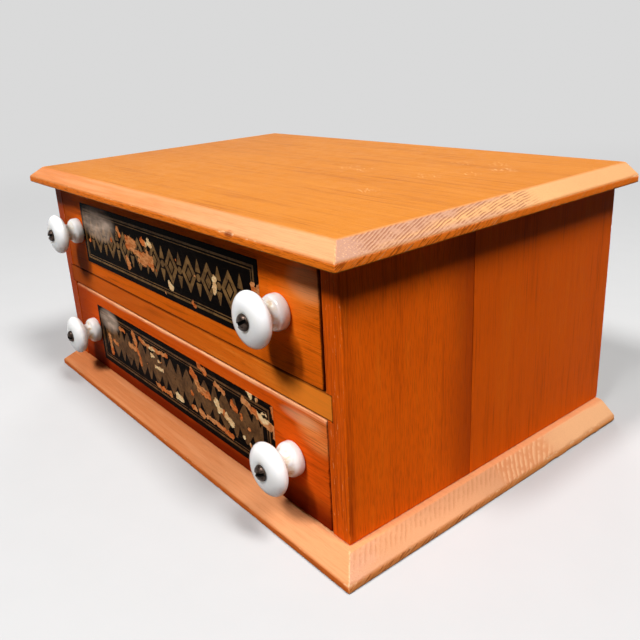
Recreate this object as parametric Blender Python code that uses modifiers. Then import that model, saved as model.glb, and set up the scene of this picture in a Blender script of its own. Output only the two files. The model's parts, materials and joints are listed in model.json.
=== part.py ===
"""Countertop spool cabinet with two drawers, built from separate boards and fittings.

Metres, +Z up. The drawers open towards -Y. The origin is the middle of the base board's underside.
"""

import math

import bmesh
import bpy
from mathutils import Vector

# Gaps between pieces
SEAT_GAP = 0.0003  # between two pieces that touch
LABEL_GAP = 0.0001  # between a pasted label and the drawer front
CUT_OVERRUN = 0.005  # how far a cutter runs past what it cuts

# Case
BODY_WIDTH = 0.374  # over the side boards
BODY_DEPTH = 0.244  # drawer fronts to the back
SIDE_THICKNESS = 0.014
SIDE_FRONT_BOARD_WIDTH = 0.0993  # each side is glued up from two boards

TOP_OVERHANG = 0.015
TOP_FASCIA = 0.005  # upright part of the moulded edge
TOP_CHAMFER_DROP = 0.0075
TOP_CHAMFER_INSET = 0.0096

BASE_OVERHANG = 0.0145
BASE_FASCIA = 0.0048
BASE_CHAMFER_DROP = 0.0092
BASE_CHAMFER_INSET = 0.0108

LOWER_OPENING_HEIGHT = 0.0712
UPPER_OPENING_HEIGHT = 0.0734
RAIL_HEIGHT = 0.0154  # between the two openings
RAIL_DEPTH = 0.045
RAIL_HOUSING = 0.0046  # how far the rail's ends are let into the sides
RUNNER_WIDTH = 0.012

BACK_THICKNESS = 0.006
BACK_REBATE = 0.007  # how far the back is let into each side

STOP_DEPTH = 0.008
STOP_WIDTH = 0.012
STOP_HEIGHT = 0.010

# Drawers
FRONT_THICKNESS = 0.014
FRONT_TOP_CLEARANCE = 0.0009
DRAWER_SIDE_THICKNESS = 0.008
DRAWER_BACK_THICKNESS = 0.007
DRAWER_BOTTOM_THICKNESS = 0.004
BOTTOM_RISE = 0.0075  # lower edge of the sides to the bottom
GROOVE_DEPTH = 0.0035
BACK_HOUSING = 0.003  # how far the back is let into the sides
BACK_SETBACK = 0.006  # rear end of the sides to the back
SIDE_DROP = 0.002  # top of the front to the top of the sides
BACK_DROP = 0.003  # top of the sides to the top of the back

TAIL_COUNT = 3
TAIL_LAP = 0.0035  # wood of the front that hides the dovetails
HALF_PIN = 0.0045  # wood above and below the outer tails
PIN_WIDTH = 0.005  # wood between two tails, at its narrow end
TAIL_SLOPE = 0.16

UPPER_LEFT_CLEARANCE = 0.0007
UPPER_RIGHT_CLEARANCE = 0.0017
LOWER_SIDE_CLEARANCE = 0.0006

# Knobs, turned about the axis of their bolt
KNOB_INSET = 0.04685  # outer face of a side to the knob's axis, before the shift
UPPER_KNOB_SHIFT = -0.0020  # middle of the cabinet to midway between the knobs
LOWER_KNOB_SHIFT = 0.0023
KNOB_LENGTH = 0.0238
KNOB_FACE_RADIUS = 0.0159
KNOB_FACE_THICKNESS = 0.0109
KNOB_CREST_WIDTH = 0.001  # from the dish to where the face stands highest
KNOB_DISH_DEPTH = 0.0006
KNOB_NECK_RADIUS = 0.0066
KNOB_HOLLOW_DEPTH = 0.0026  # how far the neck is hollowed out
KNOB_FLANGE_RADIUS = 0.01045
KNOB_FLANGE_ROUND = 0.00425
KNOB_FLANGE_THICKNESS = 0.0079
KNOB_FOOT_ROUND = 0.0014

# Labels, between the knobs
LABEL_END_GAPS = 0.0273  # how much less wide a label is than its knobs' axes are apart
LABEL_HEIGHT = 0.050
LABEL_THICKNESS = 0.0003
UPPER_LABEL_SHIFT = -0.0045  # midway between the knobs to the middle of the label
LOWER_LABEL_SHIFT = -0.0048

# Knob bolts
BOLT_RADIUS = 0.0024
BOLT_CLEARANCE = 0.0003
BOLT_HEAD_RADIUS = 0.0049
BOLT_HEAD_HEIGHT = 0.0032
BOLT_SLOT_WIDTH = 0.0013
BOLT_SLOT_DEPTH = 0.0017
BOLT_END_LENGTH = 0.0015  # bolt past the nut
WASHER_RADIUS = 0.0056
WASHER_THICKNESS = 0.001
NUT_WIDTH = 0.0085
NUT_THICKNESS = 0.0032

# Fixings of the case
FIXING_CLEARANCE = 0.0002
WOOD_SCREW_RADIUS = 0.0021
WOOD_SCREW_HEAD_RADIUS = 0.004
WOOD_SCREW_LENGTH = 0.032
WOOD_SCREW_POINT = 0.006
WOOD_SCREW_SLOT_WIDTH = 0.001
WOOD_SCREW_SLOT_DEPTH = 0.001
WOOD_SCREW_SINK = 0.0005  # underside of the base to the head
WOOD_SCREW_END_INSET = 0.030
DOWEL_RADIUS = 0.004
DOWEL_IN_TOP = 0.007
DOWEL_IN_SIDE = 0.016
NAIL_RADIUS = 0.0009
NAIL_HEAD_RADIUS = 0.002
NAIL_HEAD_THICKNESS = 0.0006
NAIL_LENGTH = 0.022
NAIL_POINT = 0.003
NAIL_SINK = 0.0004
NAIL_END_INSET = 0.022

# Rounded edges
INNER_ROUND = 0.0005
SIDE_ROUND = 0.0006
MOULDING_ROUND = 0.0007
UPPER_FRONT_ROUND = 0.0007
LOWER_FRONT_ROUND = 0.0012  # the lower drawer's edges are more worn
ROUND_STEPS = 2
ROUND_FROM_ANGLE = math.radians(20)
SHARP_ANGLE = math.radians(35)

# Fineness of round pieces
KNOB_STEPS = 20
BOLT_STEPS = 16
SCREW_STEPS = 12
NAIL_STEPS = 8
HEAD_POINTS = 5
FACE_POINTS = 9
NECK_POINTS = 6
FLANGE_POINTS = 3

# Places that follow from the sizes
FRONT_Y = (BASE_OVERHANG - BODY_DEPTH) / 2
REAR_Y = (BASE_OVERHANG + BODY_DEPTH) / 2
FLOOR_Z = BASE_FASCIA + BASE_CHAMFER_DROP
OUTER_X = BODY_WIDTH / 2
INNER_X = OUTER_X - SIDE_THICKNESS
JOINT_Y = FRONT_Y + SIDE_FRONT_BOARD_WIDTH
RAIL_LOW_Z = FLOOR_Z + LOWER_OPENING_HEIGHT
RAIL_HIGH_Z = RAIL_LOW_Z + RAIL_HEIGHT
CEILING_Z = RAIL_HIGH_Z + UPPER_OPENING_HEIGHT
RAIL_REAR_Y = FRONT_Y + RAIL_DEPTH
BACK_FACE_Y = REAR_Y - BACK_THICKNESS
STOP_FACE_Y = BACK_FACE_Y - SEAT_GAP - STOP_DEPTH
FRONT_BACK_Y = FRONT_Y + FRONT_THICKNESS
TAIL_LENGTH = FRONT_THICKNESS - TAIL_LAP
DRAWER_REAR_Y = STOP_FACE_Y - SEAT_GAP
DRAWER_BACK_REAR_Y = DRAWER_REAR_Y - BACK_SETBACK
DRAWER_BACK_FACE_Y = DRAWER_BACK_REAR_Y - DRAWER_BACK_THICKNESS
KNOB_SEAT_Y = FRONT_Y - SEAT_GAP
KNOB_REACH = OUTER_X - KNOB_INSET
LABEL_WIDTH = 2 * KNOB_REACH - LABEL_END_GAPS
BOLT_HOLE_RADIUS = BOLT_RADIUS + BOLT_CLEARANCE
KNOB_DISH_RADIUS = BOLT_HEAD_RADIUS + BOLT_CLEARANCE
KNOB_FOOT_RADIUS = KNOB_FLANGE_RADIUS - KNOB_FOOT_ROUND

# Turns that point a turned piece's own Z up, down, to the front or to the back
UP = (0, 0, 0)
DOWN = (math.pi, 0, 0)
TO_FRONT = (math.pi / 2, 0, 0)
TO_BACK = (-math.pi / 2, 0, 0)

SIDES = (("left", -1), ("right", 1))


def clear_scene():
    for obj in list(bpy.data.objects):
        bpy.data.objects.remove(obj)


def new_collection(name):
    collection = bpy.data.collections.new(name)
    bpy.context.scene.collection.children.link(collection)
    return collection


def new_material(name, colour, roughness, metallic=0.0):
    material = bpy.data.materials.new(name)
    material.use_nodes = True
    shader = material.node_tree.nodes["Principled BSDF"]
    shader.inputs["Base Color"].default_value = (*colour, 1)
    shader.inputs["Roughness"].default_value = roughness
    shader.inputs["Metallic"].default_value = metallic
    material.diffuse_color = (*colour, 1)
    return material


clear_scene()
PIECES = new_collection("spool_cabinet")
CUTTERS = new_collection("cutters")

TOP_WOOD = new_material("top_wood", (0.80, 0.32, 0.08), 0.30)
SIDE_WOOD = new_material("side_wood", (0.47, 0.08, 0.01), 0.32)
FRONT_WOOD = new_material("front_wood", (0.60, 0.16, 0.03), 0.34)
RAIL_WOOD = new_material("rail_wood", (0.68, 0.22, 0.05), 0.34)
INNER_WOOD = new_material("inner_wood", (0.52, 0.32, 0.15), 0.65)
PORCELAIN = new_material("porcelain", (0.88, 0.86, 0.80), 0.12)
OLD_STEEL = new_material("old_steel", (0.14, 0.10, 0.08), 0.42, 0.9)
LABEL_BLACK = new_material("label_black", (0.015, 0.012, 0.010), 0.38)


def add_object(name, mesh, location, material, parent):
    """A piece in its material or, with no material, a cutter."""
    obj = bpy.data.objects.new(name, mesh)
    obj.parent = parent
    obj.location = Vector(location) - (parent.location if parent else Vector())
    if material:
        mesh.materials.append(material)
        PIECES.objects.link(obj)
    else:
        obj.hide_render = True
        obj.display_type = "WIRE"
        CUTTERS.objects.link(obj)
    return obj


def box(name, low, high, material=None, parent=None):
    """A box between two corners, with its origin in its middle."""
    low = Vector(low)
    high = Vector(high)
    bm = bmesh.new()
    bmesh.ops.create_cube(bm, size=1)
    bmesh.ops.scale(bm, vec=high - low, verts=bm.verts)
    mesh = bpy.data.meshes.new(name)
    bm.to_mesh(mesh)
    bm.free()
    return add_object(name, mesh, (low + high) / 2, material, parent)


def span(start, end):
    """Two places along an axis, lower first."""
    return (start, end) if start < end else (end, start)


def round_edges(obj, width):
    bevel = obj.modifiers.new("rounded_edges", "BEVEL")
    bevel.width = width
    bevel.segments = ROUND_STEPS
    bevel.limit_method = "ANGLE"
    bevel.angle_limit = ROUND_FROM_ANGLE
    obj.data.shade_smooth()
    obj.data.set_sharp_from_angle(angle=SHARP_ANGLE)


def board(name, low, high, material, parent=None, rounding=INNER_ROUND):
    obj = box(name, low, high, material, parent)
    round_edges(obj, rounding)
    return obj


def combine(obj, other, operation="DIFFERENCE"):
    modifier = obj.modifiers.new(other.name, "BOOLEAN")
    modifier.operation = operation
    modifier.solver = "EXACT"
    modifier.object = other


def cut_box(obj, name, x_span, y_span, z_span):
    low, high = zip(x_span, y_span, z_span)
    combine(obj, box(name, low, high))


def arc(centre, semi_axes, start, end, points):
    """Points of an ellipse's arc as (radius, height), between two angles in degrees."""
    found = []
    for index in range(points + 1):
        angle = math.radians(start + (end - start) * index / points)
        radius = centre[0] + semi_axes[0] * math.cos(angle)
        height = centre[1] + semi_axes[1] * math.sin(angle)
        found.append((radius, height))
    return found


def rod_profile(radius, high, low):
    return [(0, high), (radius, high), (radius, low), (0, low)]


def ring_profile(inner, outer, high, low):
    return [(inner, high), (outer, high), (outer, low), (inner, low)]


def turned(name, profile, steps, location, rotation, material=None, parent=None, ring=False):
    """A profile of (radius, height) points, top to bottom, turned about the piece's own Z."""
    bm = bmesh.new()
    verts = [bm.verts.new((radius, 0, height)) for radius, height in profile]
    for start, end in zip(verts, verts[1:]):
        bm.edges.new((start, end))
    if ring:
        bm.edges.new((verts[-1], verts[0]))
    mesh = bpy.data.meshes.new(name)
    bm.to_mesh(mesh)
    bm.free()
    obj = add_object(name, mesh, location, material, parent)
    obj.rotation_euler = rotation
    screw = obj.modifiers.new("turned", "SCREW")
    screw.steps = steps
    screw.render_steps = steps
    screw.use_merge_vertices = True
    screw.merge_threshold = 0.00001
    screw.use_smooth_shade = True
    return obj


def bore(obj, name, radius, front, depth, location, steps):
    """A round hole along Y, from a length in front of the location to a depth behind it."""
    combine(obj, turned(name, rod_profile(radius, front, -depth), steps, location, TO_FRONT))


def moulded_board(name, overhang, bottom_z, fascia, drop, inset):
    """A board with an upright edge and a chamfer above it, mitred at the front and plain at the back."""
    half = OUTER_X + overhang
    obj = box(name, (-half, FRONT_Y - overhang, bottom_z), (half, REAR_Y, bottom_z + fascia), TOP_WOOD)
    bm = bmesh.new()
    bm.from_mesh(obj.data)
    top = [face for face in bm.faces if face.normal.z > 0.5]
    raised = bmesh.ops.extrude_face_region(bm, geom=top)["geom"]
    bmesh.ops.delete(bm, geom=top, context="FACES_ONLY")
    for vert in [item for item in raised if isinstance(item, bmesh.types.BMVert)]:
        vert.co.z += drop
        vert.co.x -= math.copysign(inset, vert.co.x)
        if vert.co.y < 0:
            vert.co.y += inset
    bm.to_mesh(obj.data)
    bm.free()
    round_edges(obj, MOULDING_ROUND)
    return obj


def make_side(label, sign):
    """The two boards of one side, with the housing for the rail and the rebate for the back."""
    inner = sign * INNER_X
    x_span = span(sign * OUTER_X, inner)
    y_spans = {
        "front": (FRONT_Y, JOINT_Y - SEAT_GAP / 2),
        "rear": (JOINT_Y + SEAT_GAP / 2, REAR_Y),
    }
    boards = {}
    for place, (front, rear) in y_spans.items():
        low = (x_span[0], front, FLOOR_Z + SEAT_GAP)
        high = (x_span[1], rear, CEILING_Z - SEAT_GAP)
        boards[place] = board(f"{label}_side_{place}_board", low, high, SIDE_WOOD, None, SIDE_ROUND)
    for place, (front, rear) in y_spans.items():
        if front < RAIL_REAR_Y + SEAT_GAP:
            cut_box(
                boards[place],
                f"{label}_{place}_rail_housing",
                span(inner - sign * CUT_OVERRUN, inner + sign * (RAIL_HOUSING + SEAT_GAP)),
                (FRONT_Y - CUT_OVERRUN, RAIL_REAR_Y + SEAT_GAP),
                (RAIL_LOW_Z - SEAT_GAP, RAIL_HIGH_Z + SEAT_GAP),
            )
    cut_box(
        boards["rear"],
        f"{label}_back_rebate",
        span(inner - sign * CUT_OVERRUN, inner + sign * (BACK_REBATE + SEAT_GAP)),
        (BACK_FACE_Y - SEAT_GAP, REAR_Y + CUT_OVERRUN),
        (FLOOR_Z - CUT_OVERRUN, CEILING_Z + CUT_OVERRUN),
    )
    return boards


def make_back():
    half = INNER_X + BACK_REBATE
    low = (-half, BACK_FACE_Y, FLOOR_Z + SEAT_GAP)
    high = (half, REAR_Y, CEILING_Z - SEAT_GAP)
    return board("back_panel", low, high, INNER_WOOD)


def make_rail_and_runners():
    """The rail between the drawers, the runners behind it, and the stops that the drawers shut against."""
    half = INNER_X + RAIL_HOUSING
    board("drawer_rail", (-half, FRONT_Y, RAIL_LOW_Z), (half, RAIL_REAR_Y, RAIL_HIGH_Z), RAIL_WOOD)
    for label, sign in SIDES:
        near = sign * (INNER_X - SEAT_GAP)
        runner = span(near, near - sign * RUNNER_WIDTH)
        low = (runner[0], RAIL_REAR_Y + SEAT_GAP, RAIL_LOW_Z)
        board(f"{label}_runner", low, (runner[1], BACK_FACE_Y - SEAT_GAP, RAIL_HIGH_Z), INNER_WOOD)
        stop = span(near, near - sign * STOP_WIDTH)
        for drawer, carrier_z in (("upper", RAIL_HIGH_Z), ("lower", FLOOR_Z)):
            low_z = carrier_z + SEAT_GAP
            high = (stop[1], STOP_FACE_Y + STOP_DEPTH, low_z + STOP_HEIGHT)
            board(f"{drawer}_{label}_stop", (stop[0], STOP_FACE_Y, low_z), high, INNER_WOOD)


def wood_screw_profile(grow=0.0, lead=0.0):
    """A countersunk screw below height 0. A lead carries the hole for it on upwards."""
    head = WOOD_SCREW_HEAD_RADIUS + grow
    shank = WOOD_SCREW_RADIUS + grow
    length = WOOD_SCREW_LENGTH + grow
    neck = shank - head - grow
    taper = WOOD_SCREW_POINT - length
    return [(0, lead), (head, lead), (head, -grow), (shank, neck), (shank, taper), (0, -length)]


def nail_profile(grow=0.0, lead=0.0):
    """A flat-headed nail below height 0. A lead carries the hole for it on upwards."""
    head = NAIL_HEAD_RADIUS + grow
    shank = NAIL_RADIUS + grow
    seat = -NAIL_HEAD_THICKNESS - grow
    length = NAIL_LENGTH + grow
    taper = NAIL_POINT - length
    return [(0, lead), (head, lead), (head, seat), (shank, seat), (shank, taper), (0, -length)]


def dowel_profile(grow=0.0, lead=0.0):
    """A dowel across a joint at height 0."""
    return rod_profile(DOWEL_RADIUS + grow, DOWEL_IN_TOP + grow + lead, -DOWEL_IN_SIDE - grow)


def fixing(name, profile_of, lead, steps, location, rotation, material, held):
    """A turned fixing, and the hole for it in each board that it goes through."""
    obj = turned(name, profile_of(), steps, location, rotation, material)
    hole = turned(f"{name}_hole", profile_of(FIXING_CLEARANCE, lead), steps, location, rotation)
    for other in held:
        combine(other, hole)
    return obj


def screw_base(base, label, x, boards):
    places = (
        ("front", FRONT_Y + WOOD_SCREW_END_INSET, boards["front"]),
        ("middle", JOINT_Y + WOOD_SCREW_END_INSET, boards["rear"]),
        ("rear", REAR_Y - WOOD_SCREW_END_INSET, boards["rear"]),
    )
    slot_reach = WOOD_SCREW_HEAD_RADIUS + CUT_OVERRUN
    for place, y, side_board in places:
        name = f"base_screw_{label}_{place}"
        location = (x, y, WOOD_SCREW_SINK)
        held = (base, side_board)
        screw = fixing(
            name, wood_screw_profile, CUT_OVERRUN, SCREW_STEPS, location, DOWN, OLD_STEEL, held
        )
        cut_box(
            screw,
            f"{name}_slot",
            (x - slot_reach, x + slot_reach),
            (y - WOOD_SCREW_SLOT_WIDTH / 2, y + WOOD_SCREW_SLOT_WIDTH / 2),
            (WOOD_SCREW_SINK - CUT_OVERRUN, WOOD_SCREW_SINK + WOOD_SCREW_SLOT_DEPTH),
        )


def dowel_top(top, label, x, boards):
    places = (("front", (FRONT_Y + JOINT_Y) / 2), ("rear", (JOINT_Y + REAR_Y) / 2))
    for place, y in places:
        name = f"top_dowel_{label}_{place}"
        held = (top, boards[place])
        fixing(name, dowel_profile, 0, SCREW_STEPS, (x, y, CEILING_Z), UP, INNER_WOOD, held)


def nail_back(back, label, x, boards):
    places = (
        ("low", FLOOR_Z + NAIL_END_INSET),
        ("middle", (FLOOR_Z + CEILING_Z) / 2),
        ("high", CEILING_Z - NAIL_END_INSET),
    )
    for place, z in places:
        name = f"back_nail_{label}_{place}"
        location = (x, REAR_Y - NAIL_SINK, z)
        held = (back, boards["rear"])
        fixing(name, nail_profile, CUT_OVERRUN, NAIL_STEPS, location, TO_BACK, OLD_STEEL, held)


def make_case():
    base = moulded_board(
        "base_board", BASE_OVERHANG, 0, BASE_FASCIA, BASE_CHAMFER_DROP, BASE_CHAMFER_INSET
    )
    top = moulded_board(
        "top_board", TOP_OVERHANG, CEILING_Z, TOP_FASCIA, TOP_CHAMFER_DROP, TOP_CHAMFER_INSET
    )
    back = make_back()
    make_rail_and_runners()
    for label, sign in SIDES:
        boards = make_side(label, sign)
        middle_x = sign * (OUTER_X + INNER_X) / 2
        screw_base(base, label, middle_x, boards)
        dowel_top(top, label, middle_x, boards)
        nail_back(back, label, sign * (INNER_X + BACK_REBATE / 2), boards)


class Drawer:
    """One drawer's places, and the empty on its slide that carries its pieces."""

    def __init__(self, name, opening_z, left_gap, right_gap, knob_shift, label_shift, rounding):
        self.name = name
        self.left = -INNER_X + left_gap
        self.right = INNER_X - right_gap
        self.low_z = opening_z[0] + SEAT_GAP
        self.top_z = opening_z[1] - FRONT_TOP_CLEARANCE
        self.side_top_z = self.top_z - SIDE_DROP
        self.middle_z = (self.low_z + self.top_z) / 2
        self.bottom_z = self.low_z + BOTTOM_RISE
        self.bottom_top_z = self.bottom_z + DRAWER_BOTTOM_THICKNESS
        self.knob_middle = knob_shift
        self.label_middle = knob_shift + label_shift
        self.rounding = rounding
        self.slide = bpy.data.objects.new(f"{name}_drawer_slide", None)
        self.slide.location = (0, FRONT_Y, self.middle_z)
        PIECES.objects.link(self.slide)

    def tails(self):
        """The height of each tail's middle, and the width of a tail's wide end."""
        height = self.side_top_z - self.low_z
        width = (height - 2 * HALF_PIN - (TAIL_COUNT - 1) * PIN_WIDTH) / TAIL_COUNT
        first = self.low_z + HALF_PIN + width / 2
        return [first + index * (width + PIN_WIDTH) for index in range(TAIL_COUNT)], width


def tail(name, x_span, middle_z, width, rear_y, grow=0.0):
    """A dovetail, widest at its front end. It is an object that a Boolean joins or cuts away."""
    front_y = FRONT_BACK_Y - TAIL_LENGTH - grow
    half = width / 2 + grow
    obj = box(name, (x_span[0], front_y, middle_z - half), (x_span[1], rear_y, middle_z + half))
    for vert in obj.data.vertices:
        if vert.co.y > 0:
            vert.co.z -= math.copysign(TAIL_SLOPE * (rear_y - front_y), vert.co.z)
    return obj


def make_drawer_side(drawer, label, sign, front):
    """A side with its tails, its groove for the bottom and its housing for the back."""
    outer = drawer.right if sign > 0 else drawer.left
    inner = outer - sign * DRAWER_SIDE_THICKNESS
    x_span = span(outer, inner)
    low = (x_span[0], FRONT_BACK_Y + SEAT_GAP, drawer.low_z)
    high = (x_span[1], DRAWER_REAR_Y, drawer.side_top_z)
    side = board(f"{drawer.name}_drawer_{label}_side", low, high, INNER_WOOD, drawer.slide)

    socket_span = span(outer + sign * CUT_OVERRUN, inner - sign * SEAT_GAP)
    middles, width = drawer.tails()
    for index, middle in enumerate(middles):
        name = f"{drawer.name}_{label}_tail_{index}"
        combine(side, tail(name, x_span, middle, width, FRONT_BACK_Y + CUT_OVERRUN), "UNION")
        rear = FRONT_BACK_Y + SEAT_GAP
        combine(front, tail(f"{name}_socket", socket_span, middle, width, rear, SEAT_GAP))
    cut_box(
        side,
        f"{drawer.name}_{label}_groove",
        span(inner - sign * CUT_OVERRUN, inner + sign * GROOVE_DEPTH),
        (FRONT_Y - CUT_OVERRUN, DRAWER_REAR_Y + CUT_OVERRUN),
        (drawer.bottom_z - SEAT_GAP, drawer.bottom_top_z + SEAT_GAP),
    )
    cut_box(
        side,
        f"{drawer.name}_{label}_back_housing",
        span(inner - sign * CUT_OVERRUN, inner + sign * BACK_HOUSING),
        (DRAWER_BACK_FACE_Y - SEAT_GAP, DRAWER_BACK_REAR_Y + SEAT_GAP),
        (drawer.bottom_top_z, drawer.side_top_z + CUT_OVERRUN),
    )


def make_drawer_bottom(drawer, front):
    """The bottom, in grooves in the sides and the front. It runs on under the back."""
    reach = DRAWER_SIDE_THICKNESS - GROOVE_DEPTH + SEAT_GAP
    left = drawer.left + reach
    right = drawer.right - reach
    low = (left, FRONT_BACK_Y - GROOVE_DEPTH + SEAT_GAP, drawer.bottom_z)
    high = (right, DRAWER_BACK_REAR_Y, drawer.bottom_top_z)
    board(f"{drawer.name}_drawer_bottom", low, high, INNER_WOOD, drawer.slide)
    cut_box(
        front,
        f"{drawer.name}_front_groove",
        (left - SEAT_GAP, right + SEAT_GAP),
        (FRONT_BACK_Y - GROOVE_DEPTH, FRONT_BACK_Y + CUT_OVERRUN),
        (drawer.bottom_z - SEAT_GAP, drawer.bottom_top_z + SEAT_GAP),
    )


def make_drawer_back(drawer):
    reach = DRAWER_SIDE_THICKNESS - BACK_HOUSING + SEAT_GAP
    low = (drawer.left + reach, DRAWER_BACK_FACE_Y, drawer.bottom_top_z + SEAT_GAP)
    high = (drawer.right - reach, DRAWER_BACK_REAR_Y, drawer.side_top_z - BACK_DROP)
    board(f"{drawer.name}_drawer_back", low, high, INNER_WOOD, drawer.slide)


def make_label(drawer):
    rear_y = FRONT_Y - LABEL_GAP
    left = drawer.label_middle - LABEL_WIDTH / 2
    low_z = drawer.middle_z - LABEL_HEIGHT / 2
    low = (left, rear_y - LABEL_THICKNESS, low_z)
    high = (left + LABEL_WIDTH, rear_y, low_z + LABEL_HEIGHT)
    return box(f"{drawer.name}_label", low, high, LABEL_BLACK, drawer.slide)


def knob_profile():
    """A round face, a hollow neck and a thick flange, about a hole for the bolt."""
    crest_radius = KNOB_DISH_RADIUS + KNOB_CREST_WIDTH
    face_semi = (KNOB_FACE_RADIUS - crest_radius, KNOB_FACE_THICKNESS / 2)
    face_centre = (crest_radius, KNOB_LENGTH - face_semi[1])
    flange_semi = (KNOB_FLANGE_ROUND, KNOB_FLANGE_THICKNESS / 2)
    flange_centre = (KNOB_FLANGE_RADIUS - flange_semi[0], flange_semi[1])

    # The hollow of the neck starts at the same radius on the face's back and on the flange.
    mouth_radius = KNOB_NECK_RADIUS + KNOB_HOLLOW_DEPTH
    face_end = math.degrees(math.acos((mouth_radius - face_centre[0]) / face_semi[0]))
    flange_start = math.degrees(math.acos((mouth_radius - flange_centre[0]) / flange_semi[0]))
    face = arc(face_centre, face_semi, 90, -face_end, FACE_POINTS)
    flange = arc(flange_centre, flange_semi, flange_start, 0, FLANGE_POINTS)
    neck_top = face[-1][1]
    neck_bottom = flange[0][1]
    neck_centre = (mouth_radius, (neck_top + neck_bottom) / 2)
    neck_semi = (KNOB_HOLLOW_DEPTH, (neck_top - neck_bottom) / 2)
    neck = arc(neck_centre, neck_semi, 90, 270, NECK_POINTS)

    seat = KNOB_LENGTH - KNOB_DISH_DEPTH
    dish = [(BOLT_HOLE_RADIUS, seat), (KNOB_DISH_RADIUS, seat)]
    foot = [(KNOB_FLANGE_RADIUS, KNOB_FOOT_ROUND), (KNOB_FOOT_RADIUS, 0), (BOLT_HOLE_RADIUS, 0)]
    return dish + face + neck[1:-1] + flange + foot


def bolt_profile():
    """A round head above height 0, and a shank through the knob, the front, the washer and the nut."""
    through_knob = SEAT_GAP + KNOB_LENGTH - KNOB_DISH_DEPTH + SEAT_GAP
    through_fittings = SEAT_GAP + WASHER_THICKNESS + SEAT_GAP + NUT_THICKNESS
    length = through_knob + FRONT_THICKNESS + through_fittings + BOLT_END_LENGTH
    head = arc((0, 0), (BOLT_HEAD_RADIUS, BOLT_HEAD_HEIGHT), 90, 0, HEAD_POINTS)
    return head + [(BOLT_RADIUS, 0), (BOLT_RADIUS, -length), (0, -length)]


def make_bolt(drawer, name, x, z):
    seat_y = KNOB_SEAT_Y - KNOB_LENGTH + KNOB_DISH_DEPTH - SEAT_GAP
    location = (x, seat_y, z)
    bolt = turned(name, bolt_profile(), BOLT_STEPS, location, TO_FRONT, OLD_STEEL, drawer.slide)
    crown_y = seat_y - BOLT_HEAD_HEIGHT
    slot_reach = BOLT_HEAD_RADIUS + CUT_OVERRUN
    cut_box(
        bolt,
        f"{name}_slot",
        (x - slot_reach, x + slot_reach),
        (crown_y - CUT_OVERRUN, crown_y + BOLT_SLOT_DEPTH),
        (z - BOLT_SLOT_WIDTH / 2, z + BOLT_SLOT_WIDTH / 2),
    )


def make_knob(drawer, label, sign, front, plate):
    """A knob with its bolt and, inside the drawer front, its washer and square nut."""
    name = f"{drawer.name}_{label}_knob"
    x = drawer.knob_middle + sign * KNOB_REACH
    z = drawer.middle_z
    place = (x, FRONT_Y, z)
    front_depth = FRONT_THICKNESS + CUT_OVERRUN
    bore(front, f"{name}_hole", BOLT_HOLE_RADIUS, CUT_OVERRUN, front_depth, place, BOLT_STEPS)
    # The label is trimmed round the knob's foot, which widens upwards.
    trim_radius = KNOB_FOOT_RADIUS + LABEL_THICKNESS + SEAT_GAP
    bore(plate, f"{name}_trim", trim_radius, CUT_OVERRUN, CUT_OVERRUN, place, KNOB_STEPS)

    seat = (x, KNOB_SEAT_Y, z)
    turned(name, knob_profile(), KNOB_STEPS, seat, TO_FRONT, PORCELAIN, drawer.slide, ring=True)
    make_bolt(drawer, f"{name}_bolt", x, z)

    washer_y = FRONT_BACK_Y + SEAT_GAP
    ring = ring_profile(BOLT_HOLE_RADIUS, WASHER_RADIUS, WASHER_THICKNESS, 0)
    washer_name = f"{name}_washer"
    turned(washer_name, ring, BOLT_STEPS, (x, washer_y, z), TO_BACK, OLD_STEEL, drawer.slide, ring=True)

    nut_y = washer_y + WASHER_THICKNESS + SEAT_GAP
    reach = NUT_WIDTH / 2
    low = (x - reach, nut_y, z - reach)
    high = (x + reach, nut_y + NUT_THICKNESS, z + reach)
    nut = box(f"{name}_nut", low, high, OLD_STEEL, drawer.slide)
    nut_depth = NUT_THICKNESS + CUT_OVERRUN
    bore(nut, f"{name}_nut_bore", BOLT_HOLE_RADIUS, CUT_OVERRUN, nut_depth, (x, nut_y, z), BOLT_STEPS)


def make_drawer(drawer):
    low = (drawer.left, FRONT_Y, drawer.low_z)
    high = (drawer.right, FRONT_BACK_Y, drawer.top_z)
    name = f"{drawer.name}_drawer_front"
    front = board(name, low, high, FRONT_WOOD, drawer.slide, drawer.rounding)
    for label, sign in SIDES:
        make_drawer_side(drawer, label, sign, front)
    make_drawer_bottom(drawer, front)
    make_drawer_back(drawer)
    plate = make_label(drawer)
    for label, sign in SIDES:
        make_knob(drawer, label, sign, front, plate)


make_case()
make_drawer(
    Drawer(
        "upper",
        (RAIL_HIGH_Z, CEILING_Z),
        UPPER_LEFT_CLEARANCE,
        UPPER_RIGHT_CLEARANCE,
        UPPER_KNOB_SHIFT,
        UPPER_LABEL_SHIFT,
        UPPER_FRONT_ROUND,
    )
)
make_drawer(
    Drawer(
        "lower",
        (FLOOR_Z, RAIL_LOW_Z),
        LOWER_SIDE_CLEARANCE,
        LOWER_SIDE_CLEARANCE,
        LOWER_KNOB_SHIFT,
        LOWER_LABEL_SHIFT,
        LOWER_FRONT_ROUND,
    )
)
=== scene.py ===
"""Looks of a two-drawer spool cabinet: stained and worn wood, white knobs and flaked black labels.

Lengths are in metres in the part's frame: X to the right, Y from the drawer fronts to the back, Z up.
Inside the materials, lengths are in millimetres.
"""

import json
import math
from dataclasses import dataclass
from functools import reduce

import bmesh
import bpy
import numpy as np
from mathutils import Matrix, Vector, noise
from mathutils.kdtree import KDTree


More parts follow.
